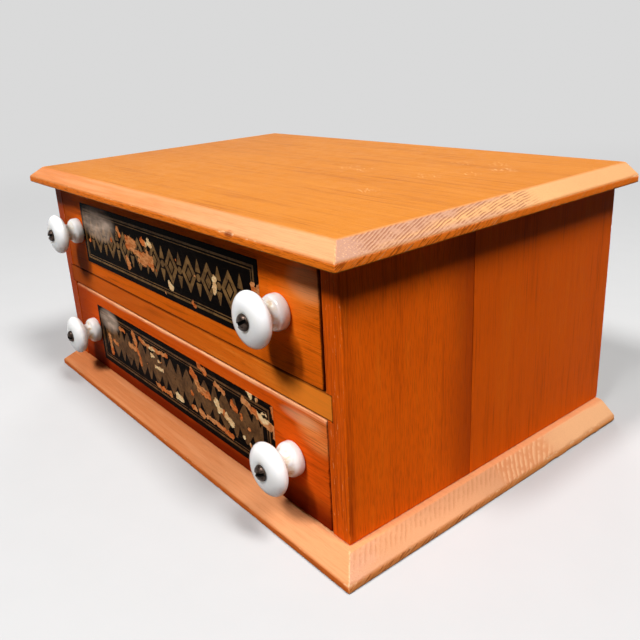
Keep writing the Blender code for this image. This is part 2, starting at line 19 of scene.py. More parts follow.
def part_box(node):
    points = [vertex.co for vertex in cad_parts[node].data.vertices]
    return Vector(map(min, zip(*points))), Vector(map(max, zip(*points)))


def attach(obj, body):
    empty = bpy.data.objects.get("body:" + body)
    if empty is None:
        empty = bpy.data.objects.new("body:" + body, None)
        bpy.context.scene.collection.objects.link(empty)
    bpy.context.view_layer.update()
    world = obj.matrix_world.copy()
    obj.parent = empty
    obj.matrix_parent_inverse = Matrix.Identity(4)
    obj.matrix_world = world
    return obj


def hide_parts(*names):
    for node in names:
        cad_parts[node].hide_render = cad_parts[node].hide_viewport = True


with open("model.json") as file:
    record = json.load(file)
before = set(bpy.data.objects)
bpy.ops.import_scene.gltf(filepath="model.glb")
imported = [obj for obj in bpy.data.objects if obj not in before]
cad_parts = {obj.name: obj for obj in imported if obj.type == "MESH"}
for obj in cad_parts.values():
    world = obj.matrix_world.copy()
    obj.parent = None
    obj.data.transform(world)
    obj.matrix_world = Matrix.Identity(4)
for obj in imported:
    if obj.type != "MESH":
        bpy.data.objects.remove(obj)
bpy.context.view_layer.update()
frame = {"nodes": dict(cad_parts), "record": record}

MM = 0.001
SKIN = 0.02 * MM  # how far a dressed board lies inside its CAD board

# The camera of the photograph, solved from the cabinet's edges.
CAMERA_PLACE = (0.42351, -0.31752, 0.26647)
CAMERA_ANGLES = (70.983, 3.487, 52.119)
CAMERA_LENS = 39.368
CAMERA_SHIFT = (0.04076, -0.04151)

# Lights: azimuth from +X, elevation, share of full daylight, and width and height as angles.
LIGHT_DISTANCE = 3.0
LIGHT_TARGET = Vector((0, 0, 0.09))  # the point that they face
FRONT_LIGHT = (-90, 54, 0.715, 6, 12)
CORNER_LIGHT = (-70, 53, 0.285, 8, 12)
RIGHT_LIGHT = (0, 59, 0.94, 12, 19)
REAR_LIGHT = (135, 10, 0.62, 30, 30)  # keeps the sides that the camera doesn't see out of the dark
FILL_LEVEL = 0.035
BACKDROP_LEVEL = 0.70
FLOOR_ALBEDO = 0.50
FLOOR_BOUNCE = 0.035  # what the floor gives back to the object
FLOOR_REACH = 40.0  # half its width
FLOOR_FADE = (450, 1700)  # millimetres from the object, over which it fades into the backdrop

# Moulded edges of the top and base boards.
TOP_FASCIA = 5.0 * MM
TOP_INSET = 9.6 * MM
BASE_FASCIA = 4.8 * MM
BASE_INSET = 10.8 * MM
EDGE_STEP = 1.3 * MM
CORNER_ROUND = 0.7 * MM
CORNER_NEAR = 0.25 * MM  # how far beside a mitre its wear fades out
CORNER_WORN = 0.66  # how pale a mitre is rubbed
REAR_ROUND_DOWN = 0.6 * MM  # the top's rear arris, down and in from its corner
REAR_ROUND_IN = 0.5 * MM

# The arrises of a moulding from the underside up: the underside's, the fascia's and the chamfer's.
MOULDING_WEAR = (1.0 * MM, 0.4 * MM, 1.3 * MM)  # at least, slow drift and nicks
ARRIS_LIMITS = (0.46, 0.46, 0.8)  # the deepest wear, as a share of the fascia
ARRIS_RUBS = (0.8, 0.8, 0.45)  # how pale each is rubbed once it has worn by FULL_RUB
FULL_RUB = 1.7 * MM
FACET_STEPS = (0, 4, 8)  # steps on the facet below each
BEND_STEPS = 5  # steps round each

# Wear of all arrises.
DRIFT_SIZE = 24 * MM
NICK_SIZE = 3.2 * MM
NICK_SEED = Vector((7, 3, 5))
NICK_LEVEL = 0.25  # noise above this makes a nick

# Plain boards.
BOARD_STEP = 1.6 * MM
BOARD_STEPS = 90  # the most along one axis
BOARD_NICKS = 1.2 * MM
SIDE_ROUND = 0.8 * MM
RAIL_ROUND = 0.7 * MM
FRONT_NICKS = 1.4 * MM
BOARD_GAP = 0.3 * MM
OVERCUT = 5 * MM  # how far a cutter reaches past the board that it cuts

# Knobs.
KNOB_LENGTH = 23.8 * MM
KNOB_FACE_RADIUS = 15.9 * MM
KNOB_FACE_THICKNESS = 10.9 * MM
KNOB_CREST = 6.2 * MM  # radius where the face stands highest
KNOB_DISH_RADIUS = 5.2 * MM
KNOB_DISH_DEPTH = 0.6 * MM
KNOB_NECK_RADIUS = 6.6 * MM
KNOB_HOLLOW = 2.6 * MM
KNOB_FLANGE_RADIUS = 10.45 * MM
KNOB_FLANGE_ROUND = 4.25 * MM
KNOB_FLANGE_THICKNESS = 7.9 * MM
KNOB_FOOT_ROUND = 1.4 * MM
KNOB_BORE = 2.7 * MM

# Knob bolts.
BOLT_RADIUS = 2.4 * MM
BOLT_HEAD_RADIUS = 4.9 * MM
BOLT_HEAD_HEIGHT = 3.2 * MM
BOLT_SLOT_WIDTH = 2.0 * MM
BOLT_SLOT_DEPTH = 2.2 * MM
BOLT_EDGE = 0.14 * MM  # how wide its softened edges are
# Degrees that each slot is turned.
BOLT_TURNS = {"upper_left": 21, "upper_right": 30, "lower_left": -8, "lower_right": 17}

# Labels.
LABEL_STEP = 0.5 * MM
LABEL_GOLD_RISE = 0.02 * MM
LABEL_BARED_SHARE = 0.55  # how thick the bared layer is, as a share of the label

# The labels' ornament, in millimetres.
ORNAMENT_HALF_HEIGHT = 25.0
BORDER_INSET = 4.2
CELLS = 9  # lozenges in the row
ROW_SHORTER = 38  # than the label

AXES = "XYZ"
WHITE = (1.0, 1.0, 1.0, 1.0)
TONE_SPREAD = 1.7  # how far a wood's fibres and blotches shift its tone


def srgb(red, green, blue):
    """A colour as it is seen, in 8-bit values, as the linear values that shaders take."""
    channels = []
    for value in (red, green, blue):
        share = value / 255
        channels.append(share / 12.92 if share <= 0.04045 else ((share + 0.055) / 1.055) ** 2.4)
    return (*channels, 1.0)


# Grime and painted shade along the gaps between parts.
SEAM_GRIME_AND_SHADE = srgb(70, 22, 6)
# Painted reflection: a pale patch on the drawer fronts that stands in for a gleam of the varnish.
PAINTED_REFLECTION = srgb(246, 196, 148)
# Painted reflection of the white knob in the labels' glossy film.
KNOB_REFLECTION = srgb(224, 196, 174)


# Mesh helpers


def put_in_scene(name, data):
    """A new object at the origin that shows a mesh, lamp or camera."""
    obj = bpy.data.objects.new(name, data)
    bpy.context.scene.collection.objects.link(obj)
    return obj


def settle(obj, body, stands_for=()):
    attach(obj, body)
    if stands_for:
        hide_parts(*stands_for)
    return obj


def make_piece(name, points, faces, body, stands_for):
    """A smooth mesh that rides on a body, in the place of CAD nodes."""
    mesh = bpy.data.meshes.new(name)
    mesh.from_pydata([tuple(point) for point in points], [], faces)
    mesh.update()
    mesh.shade_smooth()
    mesh.set_sharp_from_angle(angle=math.radians(40))
    return settle(put_in_scene(name, mesh), body, stands_for)


def keep_attribute(obj, name, values, domain="POINT"):
    attribute = obj.data.attributes.new(name, "FLOAT", domain)
    attribute.data.foreach_set("value", np.array(values, dtype=np.float32))


def combine(obj, other, operation):
    """Apply an exact Boolean between two meshes that lie in the same frame."""
    modifier = obj.modifiers.new(operation, "BOOLEAN")
    modifier.operation = operation
    modifier.solver = "EXACT"
    modifier.object = other
    apply_modifiers(obj)


def apply_modifiers(obj):
    bpy.context.view_layer.update()
    graph = bpy.context.evaluated_depsgraph_get()
    mesh = bpy.data.meshes.new_from_object(obj.evaluated_get(graph))
    old = obj.data
    obj.modifiers.clear()
    obj.data = mesh
    mesh.name = obj.name
    bpy.data.meshes.remove(old)


def cut_away(obj, low, high, placed=Matrix.Identity(4)):
    """Cut a box out of a mesh."""
    bm = bmesh.new()
    bmesh.ops.create_cube(bm, size=1.0)
    for vert in bm.verts:
        vert.co = Vector(low[axis] if vert.co[axis] < 0 else high[axis] for axis in range(3))
    mesh = bpy.data.meshes.new("cutter")
    bm.to_mesh(mesh)
    bm.free()
    mesh.transform(placed)
    cutter = put_in_scene("cutter", mesh)
    combine(obj, cutter, "DIFFERENCE")
    bpy.data.objects.remove(cutter)


def keep_inside(obj, node, points, values):
    """Keep what lies inside the CAD node, and give each vertex the values of the nearest drawn point."""
    combine(obj, frame["nodes"][node], "INTERSECT")
    tree = KDTree(len(points))
    for index, point in enumerate(points):
        tree.insert(point, index)
    tree.balance()
    nearest = [tree.find(vert.co)[1] for vert in obj.data.vertices]
    for name, drawn in values.items():
        keep_attribute(obj, name, [drawn[index] for index in nearest])


def dressed_box(node):
    """The box of a CAD board, drawn in by a skin on every side."""
    low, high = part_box(node)
    skin = Vector((SKIN,) * 3)
    return low + skin, high - skin


def bezier(start, middle, end, count):
    points = []
    for index in range(count + 1):
        share = index / count
        points.append(start * (1 - share) ** 2 + middle * 2 * share * (1 - share) + end * share**2)
    return points


def spans(start, end, step):
    """Even steps from start to end, both included."""
    count = max(1, round(abs(end - start) / step))
    return [start + (end - start) * index / count for index in range(count + 1)]


# Wear


@dataclass(frozen=True)
class Chip:
    """A place where an arris is broken: where, how far it reaches, and how deep it goes."""

    place: tuple
    reach: float
    depth: float

    def at(self, point):
        distance = (Vector(self.place) - point).length / self.reach
        return self.depth * max(0.0, 1 - distance**2)


def worn_depth(point, least, drift, nicks, chips=()):
    """How far back an arris has worn: a slow drift, small nicks and the named chips."""
    slow = 0.5 + 0.5 * noise.noise(point / DRIFT_SIZE)
    quick = max(0.0, noise.noise(point / NICK_SIZE + NICK_SEED) - NICK_LEVEL)
    return least + drift * slow + nicks * quick + sum(chip.at(point) for chip in chips)


# Top and base boards

TOP_CHIPS = (
    Chip((116.8 * MM, -129.75 * MM, 179 * MM), 5.5 * MM, 2.2 * MM),
    Chip((109 * MM, -129.75 * MM, 179 * MM), 4 * MM, 1.0 * MM),
    Chip((-38 * MM, -129.75 * MM, 179 * MM), 5 * MM, 0.8 * MM),
    Chip((202 * MM, 129 * MM, 182 * MM), 9 * MM, 1.2 * MM),
)
BASE_CHIPS = (
    Chip((201.5 * MM, 128 * MM, 6 * MM), 22 * MM, 4.0 * MM),
    Chip((201.5 * MM, 96 * MM, 0), 9 * MM, 2.4 * MM),
    Chip((201.5 * MM, 74 * MM, 0), 7 * MM, 1.6 * MM),
    Chip((201.5 * MM, 52 * MM, 2 * MM), 8 * MM, 1.4 * MM),
    Chip((201.5 * MM, -128 * MM, 5 * MM), 5 * MM, 1.2 * MM),
)


def rounded_outline(low, high, corner, step):
    """Points round a board seen from above, with a flag on those at the front corners."""
    left, right, front, rear = low.x, high.x, low.y, high.y
    beside = corner + CORNER_NEAR

    def straight(points):
        return [(Vector(point), 0.0) for point in points]

    def bend(x, start):
        turns = [math.radians(angle) for angle in spans(start, start - 90, 15)]
        middle = Vector((x, front + corner))
        return [(middle + Vector((math.cos(turn), math.sin(turn))) * corner, 1.0) for turn in turns]

    return [
        *straight((right, y) for y in spans(rear, front + beside, step)),
        *bend(right - corner, 0),
        *straight((x, front) for x in spans(right - beside, left + beside, step)),
        *bend(left + corner, -90),
        *straight((left, y) for y in spans(front + beside, rear, step)),
        *straight((x, rear) for x in spans(left, right, step)[1:-1]),
    ]


def moulded_profile(low_z, high_z, fascia, inset, wear, flat_facet):
    """((inset, height), facet, worn) from the underside up.

    The facet is 0 on the fascia and 1 on the chamfer.
    """
    corners = (Vector((0, low_z)), Vector((0, low_z + fascia)), Vector((inset, high_z)))
    ends = (corners[0] + Vector((1, 0)), *corners, corners[2] + Vector((1, 0)))
    facets = (0.0, 0.0, 1.0, flat_facet)
    found = []
    for index, corner in enumerate(corners):
        depth = min(wear[index], ARRIS_LIMITS[index] * fascia)
        before = corner + (ends[index] - corner).normalized() * depth
        after = corner + (ends[index + 2] - corner).normalized() * depth
        if found:
            start = found[-1][0]
            count = FACET_STEPS[index]
            inner = [start.lerp(before, step / count) for step in range(1, count)]
            found += [(point, facets[index], 0.0) for point in inner]
        for step, point in enumerate(bezier(before, corner, after, BEND_STEPS)):
            share = step / BEND_STEPS
            middle = 1 - abs(share - 0.5) * 2
            facet = facets[index] + (facets[index + 1] - facets[index]) * share
            shown = middle * min(1.0, depth / FULL_RUB) * ARRIS_RUBS[index]
            found.append((point, facet, shown))
    return found


def make_moulded_board(node, fascia, inset, chips, flat_facet):
    """A board with an upright edge and a wide chamfer on the front and both ends, plain at the back.

    flat_facet is the facet value of the flat above the chamfer.
    """
    low, high = dressed_box(node)
    half, depth = high.x, high.y - low.y
    heights = (low.z, low.z + fascia, high.z)
    points, facets, worn = [], [], []
    outline = rounded_outline(low, high, CORNER_ROUND, EDGE_STEP)
    for edge, corner in outline:
        wear = [worn_depth(Vector((*edge, height)), *MOULDING_WEAR, chips) for height in heights]
        across, along = edge.x / half, (high.y - edge.y) / depth
        profile = moulded_profile(low.z, high.z, fascia, inset, wear, flat_facet)
        for (drawn_in, height), facet, rub in profile:
            near_top = max(0.0, 1 - (high.z - height) / REAR_ROUND_DOWN)
            rear_in = REAR_ROUND_IN * near_top**2
            x = across * (half - drawn_in)
            y = high.y - rear_in - along * (depth - drawn_in - rear_in)
            points.append(Vector((x, y, height)))
            facets.append(facet)
            worn.append(max(rub, CORNER_WORN * corner * (facet > 0)))
    rows = len(outline)
    columns = len(points) // rows
    faces = []
    for row in range(rows):
        here, there = row * columns, (row + 1) % rows * columns
        for column in range(columns - 1):
            faces.append((here + column + 1, there + column + 1, there + column, here + column))
    faces.append([row * columns for row in range(rows)])
    faces.append([row * columns + columns - 1 for row in range(rows)][::-1])
    obj = make_piece(f"worn_{node}", points, faces, "case", (node,))
    keep_inside(obj, node, points, {"chamfer": facets, "worn": worn})
    return obj


# Sides, rail and drawer fronts


def edge_lines(low, high, rounding, step):
    """Lattice lines along one axis, closer together near both ends."""
    near = [rounding * share for share in (0, 0.25, 0.55, 1.0, 1.6, 2.4)]
    inner = spans(low + near[-1] * 1.5, high - near[-1] * 1.5, step)
    return [low + x for x in near] + inner + [high - x for x in reversed(near)]


def lattice_box(lines, place):
    """A box's six faces as quads on a lattice. place() moves each point and gives its wear."""
    last = [len(axis) - 1 for axis in lines]
    known, points, worn, faces = {}, [], [], []

    def vertex(key):
        if key not in known:
            known[key] = len(points)
            point, rub = place(Vector(lines[axis][key[axis]] for axis in range(3)))
            points.append(point)
            worn.append(rub)
        return known[key]

    for axis in range(3):
        second, third = (axis + 1) % 3, (axis + 2) % 3
        for end in (0, last[axis]):
            for u in range(last[second]):
                for v in range(last[third]):
                    key = [0, 0, 0]
                    quad = []
                    for du, dv in ((0, 0), (1, 0), (1, 1), (0, 1)):
                        key[axis], key[second], key[third] = end, u + du, v + dv
                        quad.append(vertex(tuple(key)))
                    faces.append(quad if end else quad[::-1])
    return points, worn, faces


@dataclass(frozen=True)
class WornBoard:
    """How one plain board is dressed. A sharp face, as (axis, end), keeps its place at another board."""

    node: str
    body: str
    slot: str
    rounding: float
    nicks: float
    sharp: tuple = ()
    rubbed: tuple = ()  # (axis, end) of the faces whose edges are rubbed pale
    rub: float = 0.25  # how far the other edges are


def make_worn_board(board):
    low, high = dressed_box(board.node)
    nominal = board.rounding

    def place(point):
        depth = worn_depth(point, 0.75 * nominal, 0.5 * nominal, board.nicks)
        inner = Vector(point)
        for axis in range(3):
            floor = low[axis] + (0 if (axis, 0) in board.sharp else depth)
            ceiling = high[axis] - (0 if (axis, 1) in board.sharp else depth)
            inner[axis] = min(max(point[axis], floor), ceiling)
        offset = point - inner
        if sum(abs(part) > 1e-9 for part in offset) < 2:
            return point, 0.0
        moved = inner + offset.normalized() * depth
        share = board.rub
        for axis, end in board.rubbed:
            if abs(point[axis] - (low, high)[end][axis]) < 2 * nominal:
                share = 1.0
        return moved, share * min(1.0, (moved - point).length / (0.3 * nominal))

    steps = [max(BOARD_STEP, (high[axis] - low[axis]) / BOARD_STEPS) for axis in range(3)]
    lines = [edge_lines(low[axis], high[axis], nominal, steps[axis]) for axis in range(3)]
    points, worn, faces = lattice_box(lines, place)
    name = f"worn_{board.node}"
    obj = make_piece(name, points, faces, board.body, (board.node,))
    keep_attribute(obj, "worn", worn)
    return obj, points, worn


# Turned pieces


def arc(centre, semi_axes, start, end, count):
    found = []
    for index in range(count + 1):
        angle = math.radians(start + (end - start) * index / count)
        x = centre[0] + semi_axes[0] * math.cos(angle)
        found.append((x, centre[1] + semi_axes[1] * math.sin(angle)))
    return found


def turned(profile, steps, axis_place, closed):
    """Points and quads of a profile of (radius, height), turned about a line to the front."""
    points, faces = [], []
    for step in range(steps):
        angle = 2 * math.pi * step / steps
        for radius, height in profile:
            turn = Vector((radius * math.cos(angle), -height, radius * math.sin(angle)))
            points.append(Vector(axis_place) + turn)
    count = len(profile)
    for step in range(steps):
        here, there = step * count, (step + 1) % steps * count
        for index in range(count if closed else count - 1):
            after = (index + 1) % count
            faces.append((here + index, here + after, there + after, there + index))
    if not closed:
        faces.append([step * count for step in range(steps)])
        faces.append([step * count + count - 1 for step in range(steps)][::-1])
    return points, faces


def knob_profile():
    """Round face, hollow neck and thick flange, about a hole, as (radius, height) from the seat."""
    face_semi = (KNOB_FACE_RADIUS - KNOB_CREST, KNOB_FACE_THICKNESS / 2)
    face_centre = (KNOB_CREST, KNOB_LENGTH - face_semi[1])
    flange_semi = (KNOB_FLANGE_ROUND, KNOB_FLANGE_THICKNESS / 2)
    flange_centre = (KNOB_FLANGE_RADIUS - flange_semi[0], flange_semi[1])
    mouth = KNOB_NECK_RADIUS + KNOB_HOLLOW
    face_end = math.degrees(math.acos((mouth - face_centre[0]) / face_semi[0]))
    flange_start = math.degrees(math.acos((mouth - flange_centre[0]) / flange_semi[0]))
    face = arc(face_centre, face_semi, 90, -face_end, 40)
    flange = arc(flange_centre, flange_semi, flange_start, 0, 12)
    neck_middle = (mouth, (face[-1][1] + flange[0][1]) / 2)
    neck_semi = (KNOB_HOLLOW, (face[-1][1] - flange[0][1]) / 2)
    neck = arc(neck_middle, neck_semi, 90, 270, 20)
    dish_z = KNOB_LENGTH - KNOB_DISH_DEPTH
    dish = [(KNOB_BORE, dish_z), (KNOB_DISH_RADIUS - 0.5 * MM, dish_z)]
    dish.append((KNOB_DISH_RADIUS, dish_z + 0.1 * MM))
    foot_radius = KNOB_FLANGE_RADIUS - KNOB_FOOT_ROUND
    foot = arc((foot_radius, KNOB_FOOT_ROUND), (KNOB_FOOT_ROUND, KNOB_FOOT_ROUND), 0, -90, 5)
    return dish + face + neck[1:-1] + flange + foot + [(KNOB_BORE, 0)]


def make_knob(drawer, side):
    node = f"{drawer}_{side}_knob"
    low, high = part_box(node)
    seat = Vector(((low.x + high.x) / 2, high.y, (low.z + high.z) / 2))
    points, faces = turned(knob_profile(), 96, seat, closed=True)
    obj = make_piece(f"glazed_{node}", points, faces, f"{drawer}_drawer", (node,))
    reach = [math.hypot(point.x - seat.x, point.z - seat.z) / MM for point in points]
    keep_attribute(obj, "reach", reach)
    keep_attribute(obj, "rise", [(seat.y - point.y) / MM for point in points])
    keep_attribute(obj, "drop", [(seat.z - point.z) / MM for point in points])
    return obj


def make_bolt(drawer, side):
    """A slotted bolt: a low domed head with a softened slot, and its shank through to the nut."""
    node = f"{drawer}_{side}_knob_bolt"
    low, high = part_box(node)
    head = Vector(((low.x + high.x) / 2, low.y + BOLT_HEAD_HEIGHT, (low.z + high.z) / 2))
    rim = arc((0, 0), (BOLT_HEAD_RADIUS, BOLT_HEAD_HEIGHT), 88, 6, 16)
    under = [(BOLT_HEAD_RADIUS, 0.1 * MM), (BOLT_HEAD_RADIUS - 0.1 * MM, 0), (BOLT_RADIUS, 0)]
    shank = [(BOLT_RADIUS, head.y - high.y + 0.4 * MM), (BOLT_RADIUS - 0.4 * MM, head.y - high.y)]
    points, faces = turned(rim + under + shank, 64, head, closed=False)
    obj = make_piece(f"slotted_{node}", points, faces, f"{drawer}_drawer", (node,))
    turn = Matrix.Rotation(math.radians(-BOLT_TURNS[f"{drawer}_{side}"]), 4, "Y")
    placed = Matrix.Translation(head) @ turn
    slot_low = (-2 * BOLT_HEAD_RADIUS, -BOLT_HEAD_HEIGHT - 1 * MM, -BOLT_SLOT_WIDTH / 2)
    slot_high = (2 * BOLT_HEAD_RADIUS, -BOLT_HEAD_HEIGHT + BOLT_SLOT_DEPTH, BOLT_SLOT_WIDTH / 2)
    cut_away(obj, slot_low, slot_high, placed)
    bevel = obj.modifiers.new("soft_edges", "BEVEL")
    bevel.width = BOLT_EDGE
    bevel.segments = 2
    bevel.limit_method = "ANGLE"
    bevel.angle_limit = math.radians(35)
    apply_modifiers(obj)
    back = placed.inverted()
    # Marks the slot's faces, which the steel paints black as shade.
    keep_attribute(obj, "slot", [in_slot(back @ face.center) for face in obj.data.polygons], "FACE")
    return obj


def in_slot(point):
    """1 for a point on the slot's walls or floor, in the bolt head's own frame."""
    radius = min(math.hypot(point.x, point.z), 0.99 * BOLT_HEAD_RADIUS)
    dome = -BOLT_HEAD_HEIGHT * math.sqrt(1 - (radius / BOLT_HEAD_RADIUS) ** 2)
    inside = abs(point.z) < BOLT_SLOT_WIDTH / 2 + 0.03 * MM
    return 1.0 if inside and 0.12 * MM < point.y - dome < BOLT_SLOT_DEPTH + 0.2 * MM else 0.0


# Labels


def clipped_sheet(xs, zs, field):
    """Points (x, z) and faces of the part of a grid where the field is positive."""
    known, points, faces = {}, [], []

    def point(here, there):
        key = (here, there)
        if key not in known:
            known[key] = len(points)
            share = 0.0
            if here != there:
                share = field[here] / (field[here] - field[there])
            x = xs[here[0]] + (xs[there[0]] - xs[here[0]]) * share
            z = zs[here[1]] + (zs[there[1]] - zs[here[1]]) * share
            points.append((x, z))
        return known[key]

    inside = field > 0
    for i in range(len(xs) - 1):
        for j in range(len(zs) - 1):
            ring = ((i, j), (i + 1, j), (i + 1, j + 1), (i, j + 1))
            polygon = []
            for here, there in zip(ring, ring[1:] + ring[:1]):
                if inside[here]:
                    polygon.append(point(here, here))
                if inside[here] != inside[there]:
                    polygon.append(point(*sorted((here, there))))
            if len(polygon) > 2:
                faces.append(polygon)
    return points, faces


def make_sheet(name, xs, zs, field, back_y, front_y, body, stands_for=()):
    """A thin layer on the drawer front, cut to where the field is positive."""
    flat, faces = clipped_sheet(xs, zs, field)
    bm = bmesh.new()
    verts = [bm.verts.new((x, front_y, z)) for x, z in flat]
    for face in faces:
        bm.faces.new([verts[index] for index in face])
    bmesh.ops.dissolve_limit(bm, angle_limit=0.001, verts=bm.verts, edges=bm.edges)
    bmesh.ops.triangulate(bm, faces=bm.faces)
    grown = bmesh.ops.extrude_face_region(bm, geom=bm.faces[:])["geom"]
    for vert in [item for item in grown if isinstance(item, bmesh.types.BMVert)]:
        vert.co.y = back_y
    bmesh.ops.recalc_face_normals(bm, faces=bm.faces)
    mesh = bpy.data.meshes.new(name)
    bm.to_mesh(mesh)
    bm.free()
    return settle(put_in_scene(name, mesh), body, stands_for)


def noise_grid(xs, zs, size, seed, octaves=3):
    """Fractal noise, about -1 to 1, at each point of a grid."""
    found = np.zeros((len(xs), len(zs)))
    for i, x in enumerate(xs):
        for j, z in enumerate(zs):
            found[i, j] = noise.fractal(Vector((x / size, seed, z / size)), 0.9, 2.1, octaves)
    return found


def flaked(x, z, strokes, ragged):
    """How far outside the flaked strokes each point is, in millimetres, with ragged edges."""
    nearest = np.full(x.shape, 99.0)
    for radius, *line in strokes:
        for (x1, z1), (x2, z2) in zip(line, line[1:] or line):
            run = max((x2 - x1) ** 2 + (z2 - z1) ** 2, 0.01)
            share = np.clip(((x - x1) * (x2 - x1) + (z - z1) * (z2 - z1)) / run, 0, 1)
            distance = np.hypot(x - x1 - share * (x2 - x1), z - z1 - share * (z2 - z1))
            nearest = np.minimum(nearest, distance - radius)
    return nearest + ragged


# Flaked strokes: half width, then the line they follow, in millimetres from the label's middle.
UPPER_FLAKES = (
    (3.6, (-42, 8), (-31, 6)),
    (2.4, (-43, 3), (-36, 2)),
    (2.2, (-34, 1), (-24, 0)),
    (4.6, (-20, -2), (-8, -2)),
    (2.2, (-26, -5), (-15, -6)),
    (3.0, (-5, 0), (-5, -6)),
    (3.2, (-46, -8), (-43, -13)),
    (2.4, (-57, 13), (-54, 9)),
    (2.4, (-17, 11), (-12, 9)),
    (2.6, (-7, 12), (-4, 10)),
    (1.6, (-12, 5), (-10, 3)),
    (2.6, (18, -13), (22, -15)),
    (2.6, (79, 3), (79, -1), (78, -4)),
    (1.7, (49, -19), (51, -21)),
    (1.3, (-116, -5), (-114, -5)),
    (1.3, (-71, 4), (-71, 2)),
    (0.8, (1, -7)),
    (0.8, (11, -21)),
    (0.7, (32, 6)),
    (0.8, (55, 0)),
    (2.2, (121, 9), (120, 1)),
    (2.0, (126, 8), (126, -6)),
)
LOWER_FLAKES = (
    (2.8, (-109, 1), (-107, -14)),
    (1.8, (-101, -1), (-94, -3)),
    (1.6, (-86, 14), (-77, 14)),
    (3.2, (-60, 16), (-57, 10)),
    (2.4, (-69, 5), (-60, 4), (-54, 3), (-51, -6)),
    (1.9, (-49, 16), (-36, 13), (-20, 14), (-5, 15)),
    (1.5, (-31, 8), (-27, 8)),
    (1.2, (-20, 6), (-16, 6)),
    (1.7, (-25, 0), (-15, 0)),
    (2.1, (-27, -15), (-16, -16), (-4, -16)),
    (3.0, (5, -13), (12, -14)),
    (1.8, (28, -2), (29, -3)),
    (3.1, (31, 15), (36, 11), (39, 5), (52, 4)),
    (2.2, (27, -13), (32, -14)),
    (2.6, (38, -13), (42, -15)),
    (2.2, (42, 23), (50, 20)),
    (2.1, (62, 16), (71, 14)),
    (3.1, (61, 3), (64, -1)),
    (2.5, (68, -1), (79, -6)),
    (2.6, (81, 9), (85, 7)),
    (1.9, (47, -14), (60, -14), (69, -15), (79, -16)),
    (1.6, (91, 5), (91, 2)),
    (1.6, (99, -1)),
    (1.8, (92, -11)),
    (1.4, (99, -13)),
    (2.2, (101, 25), (104, 23)),
    (1.8, (110, 23)),
    (2.8, (94, 17), (104, 14), (111, 12), (118, 10), (127, 9)),
    (1.2, (115, 16), (119, 16)),
    (1.4, (126, 23), (126, 18)),
    (2.0, (126, 7), (127, 3)),
)
# Flakes that went down to the paper's pale front layer, by their middle.
UPPER_CREAM = ((-5, 11), (20, -14), (78, -1))
LOWER_CREAM = ((9, -13), (62, 1), (77, -5), (92, -11), (103, 24), (-20, 0), (-29, 8), (116, 16))


def band(distance, half_width):
    return half_width - np.abs(distance)


def ornament(x, z, length, bold):
    """A plain running pattern in a double border: lozenges, spindles and beads, positive inside.

    bold thickens the pattern, in millimetres.
    """
    half = length / 2
    outer = np.minimum(half - np.abs(x), ORNAMENT_HALF_HEIGHT - np.abs(z)) - BORDER_INSET
    lines = np.maximum(band(outer - 0.7, 0.75), band(outer - 3.0, 0.3))
    pitch = (length - ROW_SHORTER) / CELLS
    cell = (x + CELLS / 2 * pitch) % pitch - pitch / 2
    lozenge = (1 - np.abs(cell) / 9.2 - np.abs(z) / 12.8) * 7
    ring = np.minimum(lozenge, 3.1 - lozenge)
    heart = lozenge - 4.4
    beside = pitch / 2 - np.abs(cell)
    spindle = 3.4 * np.cos(np.clip(z / 13.0, -1, 1) * math.pi / 2) - np.abs(beside)
    waist = np.abs(z) - 3.6
    bead = 2.6 - np.hypot(beside, z)
    pattern = np.maximum.reduce([ring, heart, np.minimum(spindle, waist), bead])
    field = np.minimum.reduce([pattern + bold, half - 12 - np.abs(x), 14 - np.abs(z)])
    return np.maximum(lines, field)


def make_label(drawer):
    """Three thin layers: what the flakes have bared, the black film, and the dull gold on it."""
    node = f"{drawer.name}_label"
    body = f"{drawer.name}_drawer"
    low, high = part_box(node)
    length, height = (high.x - low.x) / MM, (high.z - low.z) / MM
    xs = np.array(spans(low.x, high.x, LABEL_STEP))
    zs = np.array(spans(low.z, high.z, LABEL_STEP))
    across = (xs - (low.x + high.x) / 2) / MM
    up = (zs - (low.z + high.z) / 2) / MM
    x, z = np.meshgrid(across, up, indexing="ij")

    coarse = noise_grid(across, up, 3.6, drawer.seed)
    fine = noise_grid(across, up, 0.9, drawer.seed + 20)
    wide = noise_grid(across, up, 11.0, drawer.seed + 40, 2)
    rim = np.minimum(length / 2 - np.abs(x), height / 2 - np.abs(z))
    rim = rim - 0.25 + 0.18 * coarse + 0.12 * fine
    intact = flaked(x, z, drawer.flakes, 1.5 * coarse + 0.6 * fine)
    middle = np.clip(1.15 - np.abs(z) / 20, 0, 1)
    peeled = drawer.scatter - (wide * 0.7 + coarse * 0.6 + fine * 0.25) * (0.35 + middle)
    intact = np.minimum(intact, peeled * 3)
    film = np.minimum(rim, intact)
    ground = np.minimum(rim, 1.4 - intact)
    rubbed = 0.9 - (wide + fine * 0.8)
    gold = np.minimum.reduce([ornament(x, z, length, drawer.bold), film - 0.12, rubbed])

    ground_y = high.y - (high.y - low.y) * LABEL_BARED_SHARE
    gold_y = low.y - LABEL_GOLD_RISE
    bared = make_sheet(f"bared_{node}", xs, zs, ground, high.y, ground_y, body)
    black = make_sheet(f"film_{node}", xs, zs, film, high.y, low.y, body, (node,))
    bright = make_sheet(f"gold_{node}", xs, zs, gold, low.y, gold_y, body)
    return bared, black, bright


# Materials


def node_math(kind, swapped=False):
    """A method that adds a math node of this kind."""

    def method(self, *others):
        values = (*others, self) if swapped else (self, *others)
        return self.nodes.made("ShaderNodeMath", values, operation=kind)

    return method


